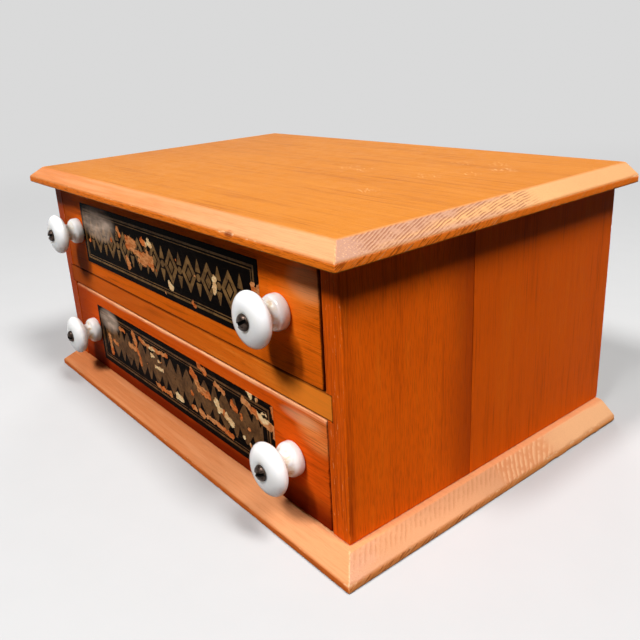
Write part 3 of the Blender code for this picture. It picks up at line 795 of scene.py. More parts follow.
class Field:
    """A value that varies over a surface. Its operators and methods add the nodes that work it out."""

    __add__ = node_math("ADD")
    __sub__ = node_math("SUBTRACT")
    __rsub__ = node_math("SUBTRACT", swapped=True)
    __mul__ = node_math("MULTIPLY")
    __truediv__ = node_math("DIVIDE")
    __pow__ = node_math("POWER")
    __abs__ = node_math("ABSOLUTE")
    highest = node_math("MAXIMUM")
    root = node_math("SQRT")
    fraction = node_math("FRACT")

    def __init__(self, nodes, socket):
        self.nodes = nodes
        self.socket = socket

    def ramp(self, low, high, to_low=0.0, to_high=1.0):
        """A smooth step from one value to another as this one goes from low to high."""
        values = (self, low, high, to_low, to_high)
        return self.nodes.made("ShaderNodeMapRange", values, interpolation_type="SMOOTHSTEP")

    def within(self, start, end, soft):
        """1 between two values, falling off over a soft length outside them."""
        return self.ramp(start - soft, start) * self.ramp(end, end + soft, 1.0, 0.0)

    def mix(self, first, second):
        """The first colour where this is 0, and the second where it is 1."""
        node = self.nodes.add("ShaderNodeMix", data_type="RGBA")
        for index, value in ((0, self), (6, first), (7, second)):
            self.nodes.feed(node.inputs[index], value)
        return Field(self.nodes, node.outputs[2])


def near(first, second, place, reach):
    """1 at a place in two coordinates, falling off to 0 at a reach of (first, second)."""
    across = (first - place[0]) / reach[0]
    up = (second - place[1]) / reach[1]
    return (across**2 + up**2).ramp(0.0, 1.0, 1.0, 0.0)


class Nodes:
    """A node tree under construction: short calls add nodes and link them."""

    def __init__(self, tree):
        self.tree = tree
        tree.nodes.clear()

    def add(self, kind, **settings):
        node = self.tree.nodes.new(kind)
        for key, value in settings.items():
            setattr(node, key, value)
        return node

    def feed(self, socket, value):
        if isinstance(value, Field):
            value = value.socket
        if isinstance(value, bpy.types.NodeSocket):
            self.tree.links.new(value, socket)
        else:
            socket.default_value = value

    def feed_named(self, node, values):
        for name, value in values.items():
            self.feed(node.inputs[name], value)

    def made(self, kind, values=(), output=0, **settings):
        """Add a node, feed its inputs in their order, and give one of its outputs."""
        node = self.add(kind, **settings)
        for socket, value in zip(node.inputs, values):
            self.feed(socket, value)
        return Field(self, node.outputs[output])

    def seen_directly(self):
        """1 for what the camera, gloss and glass see, and 0 for the light that it gives other things."""
        path = self.add("ShaderNodeLightPath")
        kinds = ("Camera", "Glossy", "Transmission")
        return reduce(Field.highest, [Field(self, path.outputs[f"Is {kind} Ray"]) for kind in kinds])


class Look(Nodes):
    def __init__(self, name):
        self.material = bpy.data.materials.new(name)
        self.material.use_nodes = True
        super().__init__(self.material.node_tree)
        self.surface = self.add("ShaderNodeBsdfPrincipled")
        self.output = self.add("ShaderNodeOutputMaterial")
        self.feed(self.output.inputs["Surface"], self.surface.outputs["BSDF"])

    def vector(self, kind, first, second=(0, 0, 0)):
        output = 1 if kind == "LENGTH" else 0
        return self.made("ShaderNodeVectorMath", (first, second), output, operation=kind)

    def place(self, seed=(0, 0, 0)):
        """The place in the part's frame, in millimetres."""
        metres = self.made("ShaderNodeTexCoord", output="Object")
        return self.vector("ADD", self.vector("MULTIPLY", metres, (1 / MM,) * 3), seed)

    def split(self, vector):
        node = self.add("ShaderNodeSeparateXYZ")
        self.feed(node.inputs[0], vector)
        return [Field(self, socket) for socket in node.outputs]

    def join(self, x, y, z):
        return self.made("ShaderNodeCombineXYZ", (x, y, z))

    def noise(self, where, size, detail=2.0, roughness=0.5):
        """Noise of 0 to 1 with features of about a size, which may differ along each axis."""
        sizes = size if isinstance(size, tuple) else (size,) * 3
        node = self.add("ShaderNodeTexNoise", noise_dimensions="3D")
        values = {
            "Vector": self.vector("DIVIDE", where, sizes),
            "Scale": 1.0,
            "Detail": detail,
            "Roughness": roughness,
        }
        self.feed_named(node, values)
        return Field(self, node.outputs["Fac"])

    def attribute(self, name):
        return self.made("ShaderNodeAttribute", output="Fac", attribute_name=name)

    def tint(self, mask, colour):
        """Lay a colour over what is painted so far."""
        self.colour = mask.mix(self.colour, colour)

    def bump(self, height, depth):
        """Relief of a depth in millimetres."""
        node = self.add("ShaderNodeBump")
        self.feed_named(node, {"Strength": 1.0, "Distance": depth * MM, "Height": height})
        self.feed(self.surface.inputs["Normal"], node.outputs[0])

    def finish(self, roughness, **settings):
        values = {name.replace("_", " "): value for name, value in settings.items()}
        self.feed_named(self.surface, {"Base Color": self.colour, "Roughness": roughness, **values})
        return self.material


@dataclass(frozen=True)
class Wood:
    """One wood: grain direction, colours, growth rings, fibres, pores and finish."""

    name: str
    axis: str
    dark: tuple
    middle: tuple
    light: tuple
    worn: tuple
    fascia: tuple = WHITE
    chamfer: tuple = WHITE
    pale: tuple = WHITE
    chamfer_z: tuple = (0, 1)  # the chamfer's foot and top
    mauve: tuple = WHITE
    mauve_to: float = 0.0  # along Y, how far the weathered part of the right chamfer goes
    end_pale: tuple = WHITE
    end_dark: tuple = WHITE
    end_rear: tuple = WHITE
    end_fascia: tuple = WHITE
    ticks_over: tuple = ()  # along Y, where growth rings show as short dark ticks
    ticks_above: float = 0.0
    ticks_pith: tuple = (0, 0)
    ticks_pitch: float = 2.0
    ticks_depth: float = 0.5
    arches_over: tuple = ()  # along Y, where growth rings show as pale arches
    arches_pith: tuple = (0, 0)
    arches_pitch: float = 4.0
    stain: tuple = ()  # along Y, where a stain from the flat reaches the chamfer's foot and where it ends
    fleck: tuple = (0, 0, 0, 1)  # rough torn fibres on the upright edges
    notches: tuple = ()  # (x, z) of broken spots on the front's arris
    marks: tuple = ()  # (x, y) of scratched spots on the flat
    pith: tuple = (40, -30)  # in the two axes after the grain's
    ring: float = 2.2
    ring_long: float = 0.10
    ring_end: float = 0.35
    fibre: float = 0.25
    blotch: float = 0.30
    pores: float = 0.35
    pore_length: float = 5.0
    pore_level: float = 0.6
    roughness: float = 0.30
    specular: float = 0.01
    seed: tuple = (0, 0, 0)


class WoodLook(Look):
    """Solid wood: every surface cuts the same rings, fibres and pores."""

    def __init__(self, wood):
        super().__init__(wood.name)
        self.wood = wood
        self.where = self.place(wood.seed)
        self.at = self.split(self.place())
        parts = self.split(self.where)
        order = AXES.index(wood.axis)
        self.grain = self.join(*(parts[(order + turn) % 3] for turn in range(3)))
        self.facing = [abs(part) for part in self.split(self.made("ShaderNodeTexCoord", output="Normal"))]
        self.end = self.facing[order].ramp(0.25, 0.6)
        self.pore_share = wood.pores

    def rings(self, pith, pitch, waver=1.1, wander=16):
        """Growth rings about a pith: 0 in the early wood rising to 1 in the late wood."""
        drift = self.noise(self.grain, (260, 60, 60))
        ripple = self.noise(self.grain, (40, 7, 7))
        _, across, up = self.split(self.grain)
        radius = ((across - pith[0] + drift * wander) ** 2 + (up - pith[1]) ** 2).root()
        share = (radius / pitch + ripple * waver).fraction()
        return share.ramp(0.15, 0.85) * share.ramp(0.86, 1.0, 1.0, 0.0)

    def build(self):
        """The plain wood's colour, relief and gloss."""
        wood, grain = self.wood, self.grain
        self.fibre = self.noise(grain, (20, 0.6, 0.6), 3.0, 0.6)
        self.strand = self.noise(grain, (70, 1.7, 1.7), 3.0, 0.6)
        streak = self.noise(grain, (130, 4.5, 4.5), 3.0, 0.55)
        blotch = self.noise(grain, (70, 26, 26))
        lines = (self.fibre - 0.5) + (self.strand - 0.5) + (streak - 0.5)
        tone = lines * (wood.fibre * TONE_SPREAD) + (blotch - 0.5) * (wood.blotch * TONE_SPREAD) + 0.5
        strength = self.end.ramp(0, 1, wood.ring_long, wood.ring_end)
        tone = tone - self.rings(wood.pith, wood.ring) * strength + strength * 0.35
        low = tone.ramp(0.05, 0.5).mix(wood.dark, wood.middle)
        self.colour = tone.ramp(0.5, 0.95).mix(low, wood.light)
        pores = self.noise(grain, (wood.pore_length, 0.42, 0.42), 1.0)
        pores = pores.ramp(wood.pore_level, wood.pore_level + 0.12) * (1.0 - self.end)
        self.tint(pores * self.pore_share, wood.dark)
        self.height = self.fibre * 0.5 - pores * 0.7
        gloss = self.noise(self.where, 9.0, 3.0, 0.6)
        self.gloss = (gloss - 0.5) * 0.22 + wood.roughness

    def wear(self, amount=1.0):
        """Pale rubbed wood along the arrises, broken up along the grain."""
        worn = self.attribute("worn")
        speck = self.noise(self.grain, (3.0, 1.1, 1.1), 3.0, 0.65)
        patch = self.noise(self.where, 13.0)
        level = worn + (speck - 0.5) * 1.1 + (patch - 0.5) * 0.9
        mask = level.ramp(0.50, 0.95) * worn.ramp(0.02, 0.25) * amount
        self.gloss = self.gloss + mask * 0.25
        self.tint(mask, self.wood.worn)

    def close(self, depth=0.05):
        self.bump(self.height, depth)
        return self.finish(self.gloss, Specular_IOR_Level=self.wood.specular)


def plain_wood(wood):
    look = WoodLook(wood)
    look.build()
    return look.close()


def side_wood(wood, front, joint):
    """The sides: a darker band before the glued joint, a calmer rear board, a scuffed front edge, and
    painted shade on the left side, strongest on its front edge.
    """
    look = WoodLook(wood)
    x, y, z = look.at
    rear = y.ramp(joint, joint + 3)
    look.pore_share = rear.ramp(0, 1, wood.pores, wood.pores * 0.4)
    look.build()
    wander = look.noise(look.where, (20, 20, 60))
    streak = look.noise(look.grain, (34, 1.3, 1.3), 3.0, 0.65).ramp(0.46, 0.66)
    band = (y + wander * 10).ramp(joint - 27, joint + 7) * y.ramp(joint - 0.3, joint, 0.62, 0.0)
    # Painted shade on the left side, strongest on its front edge.
    left = x.ramp(-180, 0, 1.0, 0.0) * y.ramp(front, front + 12, 0.7, 0.25)
    line = y.within(joint - 0.2, joint + 0.1, 0.3) * 0.4
    lined = streak * y.ramp(front + 2.5, front + 9, 1.0, 0.0) * 0.5
    arris = y.ramp(front + 1, front + 7, 1.0, 0.0) * wander.ramp(0.3, 0.6, 0.4, 1.0)
    arris = arris * z.ramp(20, 110, 0.75, 0.15) * y.ramp(front + 0.4, front + 1)
    front_edge = y.ramp(front + 0.4, front + 1, 0.14, 0.0)
    for mask in (rear * 0.2, band, left, line, lined, arris, front_edge):
        look.tint(mask, wood.dark)
    speck = look.noise(look.grain, (4.5, 0.8, 0.8), 2.0, 0.6).ramp(0.66, 0.74)
    look.tint(speck * y.ramp(front, front + 3, 0.75, 0.0), wood.worn)
    look.wear()
    return look.close()


def add_seams(look, edges):
    """Grime and painted shade in the gaps beside edges, given as (coordinate, edge, how far it reaches
    inside).
    """
    for value, edge, inside in edges:
        ragged = value + (look.strand - 0.5) * 0.8
        look.tint(ragged.ramp(edge, edge + inside, 0.85, 0.0), SEAM_GRIME_AND_SHADE)


def rail_wood(wood, low, high):
    """The rail: painted light and shade, paler towards its right end and darker towards its left; grime
    and painted shade in its gaps and where its ends enter the sides.
    """
    look = WoodLook(wood)
    look.build()
    x, _, z = look.at
    # Painted light and shade: paler towards the right end, darker towards the middle and left, as the
    # light falls off to the left.
    along = x + look.strand * 60
    look.tint(along.ramp(130, 190, 0.0, 0.7), wood.pale)
    look.tint(along.ramp(-40, 150, 0.6, 0.0), wood.chamfer)
    look.wear()
    # Painted shade at the left end.
    look.tint(x.ramp(low.x, low.x + 70, 0.7, 0.0), wood.dark)
    add_seams(look, ((z, low.z, 1.3), (z, high.z, -1.3), (x, low.x, 1.0), (x, high.x, -1.0)))
    return look.close()


def drawer_wood(drawer, low, high):
    """A drawer front: a painted sheen (a lighter patch that stands in for a reflection), cracks at its
    right end, a rubbed top edge, a painted pale reflection, and painted shade towards its left end.
    """
    wood = drawer.wood
    look = WoodLook(wood)
    look.build()
    x, _, z = look.at
    wander = look.noise(look.where, (26, 26, 7))
    # Painted sheen: a lighter patch that stands in for a reflection on the varnish.
    look.tint(near(x, z, drawer.painted_sheen, (24, 14)) * wander.ramp(0.25, 0.7, 0.3, 0.9), wood.pale)
    look.tint((z + wander * 8.0).ramp(low.z + 8, low.z + 26, drawer.low_dark, 0.0), wood.dark)
    crack = look.noise(look.grain, (36, 1.1, 0.5), 3.0, 0.6).ramp(0.56, 0.64)
    crack = crack * x.ramp(high.x - 32, high.x - 6, 0.0, 0.5)
    look.tint(crack, wood.dark)
    look.height = look.height - crack
    rubbed = (z + (look.strand - 0.5) * 5.0).ramp(high.z - 3.2, high.z - 1.2, 0.0, drawer.top_pale)
    look.tint(rubbed * wander.ramp(0.3, 0.6, 0.45, 1.0), wood.worn)
    look.wear()
    # Painted reflection: a pale patch that stands in for a gleam of the varnish.
    reflection_mask = near(x, z, drawer.reflection_patch[:2], drawer.reflection_patch[2:]) * wander.ramp(0.2, 0.6, 0.4, 1.0)
    look.tint(reflection_mask * 0.38, PAINTED_REFLECTION)
    # Painted shade: darker towards the left end, where the light falls off.
    look.tint(x.ramp(low.x, low.x + 60, 0.65, 0.0), wood.dark)
    add_seams(look, ((z, low.z, 1.3), (x, low.x, 1.0), (x, high.x, -1.0)))
    return look.close()


def weathering(wood, reach, wander, y, z):
    """How grey a chamfer's end grain is: near the front, and below a stain from the flat."""
    weathered = reach.ramp(wood.mauve_to, wood.mauve_to + 45, 0.95, 0.0)
    if not wood.stain:
        return weathered
    first, last = wood.stain
    foot, top = wood.chamfer_z
    height = z + (y - first) * ((foot - top) / (last - first)) + (wander - 0.5) * 5.0
    upper = height.ramp(foot - 1.0, foot + 2.2, 0.0, 0.8)
    lower = z.ramp(foot + 3.2, foot + 0.8) * reach.ramp(-20, 50, 0.7, 0.0)
    return weathered.highest(upper).highest(lower)


def end_grain(look):
    """Bare end grain of a chamfer: a stain from the flat, short dark ticks, pale arches and grit."""
    wood = look.wood
    _, y, z = look.at
    wander = look.noise(look.where, (30, 14, 5))
    broken = look.noise(look.where, (9, 6, 2.5)).ramp(0.34, 0.56, 0.2, 1.0)
    grit = look.noise(look.where, (1.6, 0.7, 0.6), 3.0, 0.7).ramp(0.42, 0.72)
    speck = look.noise(look.where, 0.8, 2.0, 0.7).ramp(0.57, 0.66)
    reach = y + wander * 40
    weathered = weathering(wood, reach, wander, y, z)
    bare = reach.ramp(20, 110).mix(wood.end_pale, wood.end_rear)
    bare = (grit * weathered.ramp(0, 1, 0.12, 0.45)).mix(bare, wood.end_dark)
    bare = (weathered * grit.ramp(0, 1, 1.0, 0.6)).mix(bare, wood.mauve)
    bare = (speck * weathered * 0.6).mix(bare, wood.worn)

    shown = y.within(*wood.ticks_over, 16) * broken
    shown = shown * (z + wander * 4.0).ramp(wood.ticks_above, wood.ticks_above + 3.5)
    ticks = look.rings(wood.ticks_pith, wood.ticks_pitch, 0.7, 3) * shown
    bare = (ticks * wood.ticks_depth).mix(bare, wood.end_dark)

    relief = grit * -0.7 - ticks * 0.8
    if wood.arches_over:
        shown = y.within(*wood.arches_over, 10)
        arches = look.rings(wood.arches_pith, wood.arches_pitch, 0.6, 5) * broken * shown
        bare = (shown * 0.5).mix(bare, wood.chamfer)
        bare = (arches * 0.6).mix(bare, wood.worn)
        relief = relief + arches
    look.height = look.height + relief * look.end
    return bare


def add_scratches(look):
    """Fine pale scratches in clusters on the flat."""
    x, y, z = look.at
    slanted = look.join(x - y * 0.7, y + x * 0.7, z)
    lines = look.noise(slanted, (8, 1.0, 1.0), 2.0, 0.6).ramp(0.60, 0.68)
    spots = [near(x, y, place, (13, 9)) for place in look.wood.marks]
    shown = reduce(Field.highest, spots)
    look.tint(lines * shown * 0.8, look.wood.worn)


def add_torn_edges(look, upright):
    """Split and torn fibres on the upright edges, rougher on the right one's front half."""
    wood = look.wood
    x, y, z = look.at
    split = look.noise(look.grain, (11, 1.1, 0.8), 3.0, 0.65).ramp(0.48, 0.62)
    look.tint(split * upright * look.end.ramp(0, 1, 0.42, 0.1), wood.fleck)
    slanted = look.join(x, y - z * 1.5, z)
    rough = upright * look.end
    fleck = look.noise(slanted, (1.4, 1.9, 6.0), 3.0, 0.6).ramp(0.50, 0.62)
    look.tint(fleck * rough * y.ramp(-60, 40, 0.6, 0.08), wood.fleck)
    chafed = look.noise(slanted, (1.2, 1.6, 7.0), 2.0, 0.6).ramp(0.60, 0.68)
    look.tint(chafed * rough * 0.5, wood.end_rear)


def honey_wood(wood):
    """The top and base boards: paler chamfers, partly wear and partly a painted highlight where they face
    the light; rough end grain on both ends; and painted shade towards the left end.
    """
    look = WoodLook(wood)
    x, y, z = look.at
    look.build()
    if wood.marks:
        add_scratches(look)
    mottle = look.noise(look.grain, (16, 3.0, 3.0), 3.0, 0.6)
    # Chamfer colour: partly wear, partly a painted highlight where the chamfers face the light, paler
    # towards the right end.
    pale = (x + mottle * 90).ramp(20, 230, 0.1, 1.0).mix(wood.chamfer, wood.pale)
    pale = (look.fibre.ramp(0.4, 0.75) * 0.3).mix(pale, wood.end_dark)
    band = look.noise(look.grain, (90, 3.4, 3.4)).ramp(0.42, 0.68, 0.0, 0.45)
    pale = band.mix(pale, wood.pale)
    pale = look.end.mix(pale, end_grain(look))

    upright = look.facing[2].ramp(0.2, 0.5, 1.0, 0.0)
    edge = (look.end * y.ramp(-40, 100, 0.75, 1.0)).mix(wood.fascia, wood.end_fascia)
    look.tint(upright * 0.92, edge)
    look.tint(look.attribute("chamfer") * 0.9, pale)
    # Painted shade: darker towards the left end, where the light falls off.
    look.tint(x.ramp(-200, -60, 0.12, 0.0), wood.dark)
    add_torn_edges(look, upright)
    look.gloss = look.gloss + look.end * 0.2
    look.wear(0.8)
    for place in wood.notches:
        torn = near(x, z, place, (5.0, 2.6)) * y.ramp(-126, -125, 1.0, 0.0)
        look.tint(torn * look.fibre.ramp(0.35, 0.6, 0.25, 0.9), wood.fleck)
    return look.close(0.1)


def porcelain():
    """White glaze, creamy and stained in the neck, with specks low down and a faint ring at the bolt."""
    look = Look("glazed_porcelain")
    reach, rise, drop = (look.attribute(name) for name in ("reach", "rise", "drop"))
    where = look.place()
    stain = look.noise(where, (5, 5, 3), 3.0, 0.6)
    in_neck = reach.ramp(9.5, 7.0) * rise.ramp(2.0, 6.0)
    amount = (drop.ramp(1.0, 9.0) * 0.5 + in_neck) * stain.ramp(0.35, 0.65)
    creamy = (rise.ramp(9.5, 5.0) * 0.12 + amount * 0.8) * rise.ramp(12.5, 9.5, 0.12, 1.0)
    look.colour = creamy.mix(srgb(248, 247, 243), srgb(242, 222, 186))
    brown = in_neck * stain.ramp(0.55, 0.72) * rise.ramp(13.5, 11.0, 0.0, 0.6)
    look.tint(brown, srgb(184, 126, 66))
    low_down = (drop + look.noise(where, 6.0) * 8.0).ramp(8.0, 16.0)
    look.tint(look.noise(where, 0.55, 1.0).ramp(0.70, 0.76) * low_down, srgb(96, 78, 62))
    ring = abs(reach - 5.1).ramp(0.0, 0.7, 0.12, 0.0) * rise.ramp(21.0, 22.5)
    look.tint(ring, srgb(120, 88, 58))
    look.bump(look.noise(where, 4.5, 1.0), 0.06)
    return look.finish(
        look.noise(where, 3.0).ramp(0.3, 0.8, 0.07, 0.16),
        Specular_IOR_Level=0.5,
        Subsurface_Weight=0.8,
        Subsurface_Radius=(1.0, 0.95, 0.88),
        Subsurface_Scale=0.012,
    )


def old_steel():
    """Browned steel, with painted shade in the bolts' slots, which are black."""
    look = Look("browned_steel")
    where = look.place()
    patch = look.noise(where, 2.2, 4.0, 0.65)
    grit = look.noise(where, 0.35, 3.0, 0.7)
    slot = look.attribute("slot")
    look.colour = patch.ramp(0.35, 0.65).mix(srgb(28, 19, 15), srgb(80, 66, 58))
    look.tint(grit.ramp(0.6, 0.75), srgb(80, 48, 28))
    # Painted shade: the slot's walls and floor are painted black and matte.
    look.tint(slot, srgb(12, 8, 6))
    look.bump(patch + grit * 0.5, 0.06)
    rough = patch.ramp(0.3, 0.7, 0.44, 0.28).highest(slot)
    return look.finish(rough, Metallic=slot.ramp(0, 1, 0.85, 0.0), Specular_IOR_Level=0.1)


def add_knob_reflection(look, where, knob_reflection):
    """A painted reflection of the knob: a pale haze about a place on the label, as (x, z, reach along X,
    reach along Z).
    """
    x, _, z = look.split(where)
    cloud = look.noise(where, (26, 9, 7)).ramp(0.3, 0.7, 0.4, 1.0)
    fine = look.noise(where, (5, 3, 2)).ramp(0.3, 0.7, 0.8, 1.0)
    look.tint(near(x, z, knob_reflection[:2], knob_reflection[2:]) * cloud * fine * 0.92, KNOB_REFLECTION)


def label_film(drawer):
    look = Look(f"{drawer.name}_label_film")
    where = look.place()
    haze = look.noise(where, (26, 26, 12), 3.0, 0.6)
    scuff = look.noise(where, (9, 9, 0.8), 3.0, 0.65)
    look.colour = haze.ramp(0.35, 0.75).mix(srgb(7, 4, 3), srgb(20, 12, 8))
    look.tint(scuff.ramp(0.55, 0.8) * drawer.brown, srgb(92, 66, 42))
    add_knob_reflection(look, where, drawer.knob_reflection)
    look.bump(look.noise(where, 1.6, 3.0), 0.05)
    return look.finish(haze.ramp(0.3, 0.7, 0.2, 0.34), Specular_IOR_Level=0.003)


def label_gold(drawer):
    look = Look(f"{drawer.name}_label_gold")
    where = look.place()
    patch = look.noise(where, 7.0, 4.0, 0.65)
    look.colour = patch.ramp(0.3, 0.7).mix(*drawer.gold)
    rubbed = look.noise(where, (2.2, 2.2, 3.4), 3.0, 0.7).ramp(0.54, 0.66)
    look.tint(rubbed * 0.55, srgb(34, 22, 14))
    add_knob_reflection(look, where, drawer.knob_reflection)
    look.bump(look.noise(where, 0.8), 0.03)
    return look.finish(patch.ramp(0.3, 0.7, 0.5, 0.38), Specular_IOR_Level=0.03)


def label_bared(drawer, middle):
    """The torn paper under the film: salmon brown, and cream where only the top layer came off."""
    look = Look(f"{drawer.name}_label_bared")
    where = look.place()
    x, _, z = look.split(where)
    fibre = look.noise(where, (4.0, 2.0, 1.6), 3.0, 0.6)
    kind = look.noise(where, (14, 14, 9))
    tan = fibre.ramp(0.34, 0.62).mix(srgb(190, 110, 56), srgb(224, 152, 94))
    salmon = fibre.ramp(0.34, 0.62).mix(srgb(184, 84, 30), srgb(224, 124, 60))
    cream = fibre.ramp(0.3, 0.7).mix(srgb(228, 170, 110), srgb(255, 226, 172))
    look.colour = kind.ramp(0.42, 0.58).mix(salmon, tan)
    places = [(middle.x / MM + across, middle.z / MM + up) for across, up in drawer.creams]
    spots = [near(x, z, place, (9, 9)) for place in places]
    look.tint(reduce(Field.highest, spots).ramp(0.2, 0.5), cream)
    look.bump(fibre, 0.12)
    return look.finish(fibre.ramp(0.2, 0.8, 0.62, 0.8), Specular_IOR_Level=0.05)


TOP_LOOK = Wood(
    name="honey_top_wood",
    axis="X",
    dark=srgb(142, 70, 20),
    middle=srgb(189, 115, 37),
    light=srgb(202, 132, 55),
    worn=srgb(240, 196, 150),
    fascia=srgb(255, 130, 32),
    # chamfer and pale are paler partly for wear and partly as a painted highlight where the chamfers face
    # the light.
    chamfer=srgb(212, 130, 76),
    pale=srgb(226, 158, 112),
    chamfer_z=(179.0, 186.5),
    mauve=srgb(180, 138, 122),
    mauve_to=-100,
    stain=(-118, 22),
    fleck=srgb(128, 46, 14),
    notches=((116.6, 178.2),),
    end_pale=srgb(222, 168, 116),
    end_dark=srgb(142, 88, 66),
    end_rear=srgb(218, 160, 110),
    end_fascia=srgb(255, 126, 34),
    ticks_over=(-104, 12),
    ticks_above=178.5,
    ticks_pith=(80, -497),
    ticks_pitch=0.95,
    ticks_depth=0.85,
    pith=(190, -120),
    ring=1.7,
    ring_long=0.07,
    ring_end=0.0,
    fibre=0.32,
    blotch=0.2,
    pores=0.25,
    roughness=0.36,
    marks=((48, 19), (67, 16), (139, 42), (130, 82), (146, 64), (118, 21), (125, -34), (105, 73)),
)
BASE_LOOK = Wood(
    name="honey_base_wood",
    axis="X",
    dark=srgb(150, 66, 18),
    middle=srgb(200, 112, 46),
    light=srgb(226, 144, 80),
    worn=srgb(240, 196, 150),
    fascia=srgb(220, 106, 36),
    # chamfer and pale are paler partly for wear and partly as a painted highlight where the chamfers face
    # the light.
    chamfer=srgb(206, 122, 72),
    pale=srgb(224, 154, 106),
    chamfer_z=(4.8, 14.0),
    mauve=srgb(212, 158, 132),
    mauve_to=-118,
    fleck=srgb(136, 54, 20),
    end_pale=srgb(212, 154, 113),
    end_dark=srgb(164, 98, 58),
    end_rear=srgb(232, 178, 130),
    end_fascia=srgb(250, 160, 90),
    ticks_over=(-112, 6),
    ticks_above=8.8,
    ticks_pith=(412, -615),
    ticks_depth=0.34,
    ticks_pitch=2.45,
    arches_over=(8, 50),
    arches_pith=(112, -95),
    arches_pitch=2.9,
    pith=(88, -40),
    ring=1.7,
    ring_end=0.0,
    roughness=0.38,
    seed=(31, 0, 0),
)
SIDE_LOOK = Wood(
    name="red_side_wood",
    axis="Z",
    dark=srgb(150, 48, 6),
    middle=srgb(244, 100, 10),
    light=srgb(253, 126, 26),
    worn=srgb(244, 160, 96),
    pith=(420, 60),
    ring=5.5,
    ring_long=0.06,
    fibre=0.26,
    blotch=0.22,
    pores=0.26,
    pore_length=8.0,
    pore_level=0.5,
    roughness=0.33,
)
FRONT_LOOK = Wood(
    name="upper_front_wood",
    axis="X",
    dark=srgb(140, 50, 6),
    middle=srgb(238, 108, 16),
    light=srgb(250, 132, 36),
    worn=srgb(255, 190, 124),
    # pale is the colour of the painted sheen.
    pale=srgb(252, 136, 48),
    pith=(260, 40),
    ring=3.4,
    ring_long=0.16,
    pores=0.3,
    roughness=0.34,
    specular=0.003,
    seed=(0, 0, 11),
)
LOWER_LOOK = Wood(
    name="lower_front_wood",
    axis="X",
    dark=srgb(124, 34, 4),
    middle=srgb(226, 88, 14),
    light=srgb(242, 114, 34),
    worn=srgb(255, 186, 134),
    # pale is the colour of the painted sheen.
    pale=srgb(255, 150, 76),
    pith=(230, -20),
    ring=3.6,
    ring_long=0.14,
    pores=0.3,
    roughness=0.34,
    specular=0.003,
    seed=(53, 0, 29),
)
RAIL_LOOK = Wood(
    name="rail_wood",
    axis="X",
    dark=srgb(140, 58, 8),
    middle=srgb(236, 112, 24),
    light=srgb(252, 142, 48),
    worn=srgb(255, 206, 146),
    # chamfer and pale here are the painted shade towards the left end and the painted light towards the
    # right end.
    chamfer=srgb(206, 88, 22),
    pale=srgb(255, 146, 46),
    pith=(140, 50),
    ring=2.2,
    ring_long=0.2,
    pores=0.3,
    roughness=0.36,
    specular=0.003,
    seed=(17, 0, 5),
)


def inner_wood(axis):
    return Wood(
        name=f"bare_inner_wood_{axis.lower()}",
        axis=axis,
        dark=srgb(150, 104, 60),
        middle=srgb(206, 164, 112),
        light=srgb(226, 192, 146),
        worn=srgb(226, 192, 146),
        pith=(90, 70),
        ring=3.2,
        ring_long=0.4,
        ring_end=0.5,
        pores=0.1,
        roughness=0.62,
        seed=(9, 4, 2),
    )


def dress(obj, material):
    obj.data.materials.clear()
    obj.data.materials.append(material)


# Floor, lights and camera


def add_light(name, azimuth, elevation, level, width, height, gleams=True):
    """A soft lamp far enough away to light the object evenly. It shows in gloss where it gleams."""
    turn, rise = math.radians(azimuth), math.radians(elevation)
    toward = Vector((math.cos(turn) * math.cos(rise), math.sin(turn) * math.cos(rise), math.sin(rise)))
    lamp = bpy.data.lights.new(name, "AREA")
    lamp.shape = "ELLIPSE"
    lamp.size = 2 * LIGHT_DISTANCE * math.tan(math.radians(width / 2))
    lamp.size_y = 2 * LIGHT_DISTANCE * math.tan(math.radians(height / 2))
    lamp.energy = level * math.pi**2 * LIGHT_DISTANCE**2
    obj = put_in_scene(name, lamp)
    obj.location = toward * LIGHT_DISTANCE + LIGHT_TARGET
    obj.rotation_euler = toward.to_track_quat("Z", "Y").to_euler()
    obj.visible_glossy = gleams


def add_world():
    """A backdrop that looks bright and gives only a little light of its own."""
    world = bpy.data.worlds.new("studio")
    world.use_nodes = True
    nodes = Nodes(world.node_tree)
    output = nodes.add("ShaderNodeOutputWorld")
    background = nodes.add("ShaderNodeBackground")
    nodes.feed(background.inputs["Color"], WHITE)
    nodes.feed(background.inputs["Strength"], nodes.seen_directly().ramp(0, 1, FILL_LEVEL, BACKDROP_LEVEL))
    nodes.feed(output.inputs["Surface"], background.outputs[0])
    bpy.context.scene.world = world


def grey(level):
    return (level, level, level, 1.0)


def add_floor():
    """A pale floor that fades into the backdrop's own level far from the object."""
    mesh = bpy.data.meshes.new("floor")
    corners = [(x * FLOOR_REACH, y * FLOOR_REACH, 0) for x, y in ((-1, -1), (1, -1), (1, 1), (-1, 1))]
    mesh.from_pydata(corners, [], [(0, 1, 2, 3)])
    floor = put_in_scene("floor", mesh)
    look = Look("pale_floor")
    where = look.place()
    direct = look.seen_directly()
    paper = look.noise(where, 30.0).mix(grey(FLOOR_ALBEDO), grey(FLOOR_ALBEDO * 1.03))
    look.colour = direct.mix(grey(FLOOR_BOUNCE), paper)
    look.finish(0.8, Specular_IOR_Level=0.1)
    away = look.vector("LENGTH", look.vector("MULTIPLY", where, (1, 1, 0)))
    glow = look.add("ShaderNodeEmission")
    look.feed(glow.inputs["Color"], WHITE)
    look.feed(glow.inputs["Strength"], direct.ramp(0, 1, FLOOR_BOUNCE, BACKDROP_LEVEL))
    blend = look.add("ShaderNodeMixShader")
    look.feed(blend.inputs[0], away.ramp(*FLOOR_FADE))
    look.feed(blend.inputs[1], look.surface.outputs["BSDF"])
    look.feed(blend.inputs[2], glow.outputs[0])
    look.feed(look.output.inputs["Surface"], blend.outputs[0])
    dress(floor, look.material)


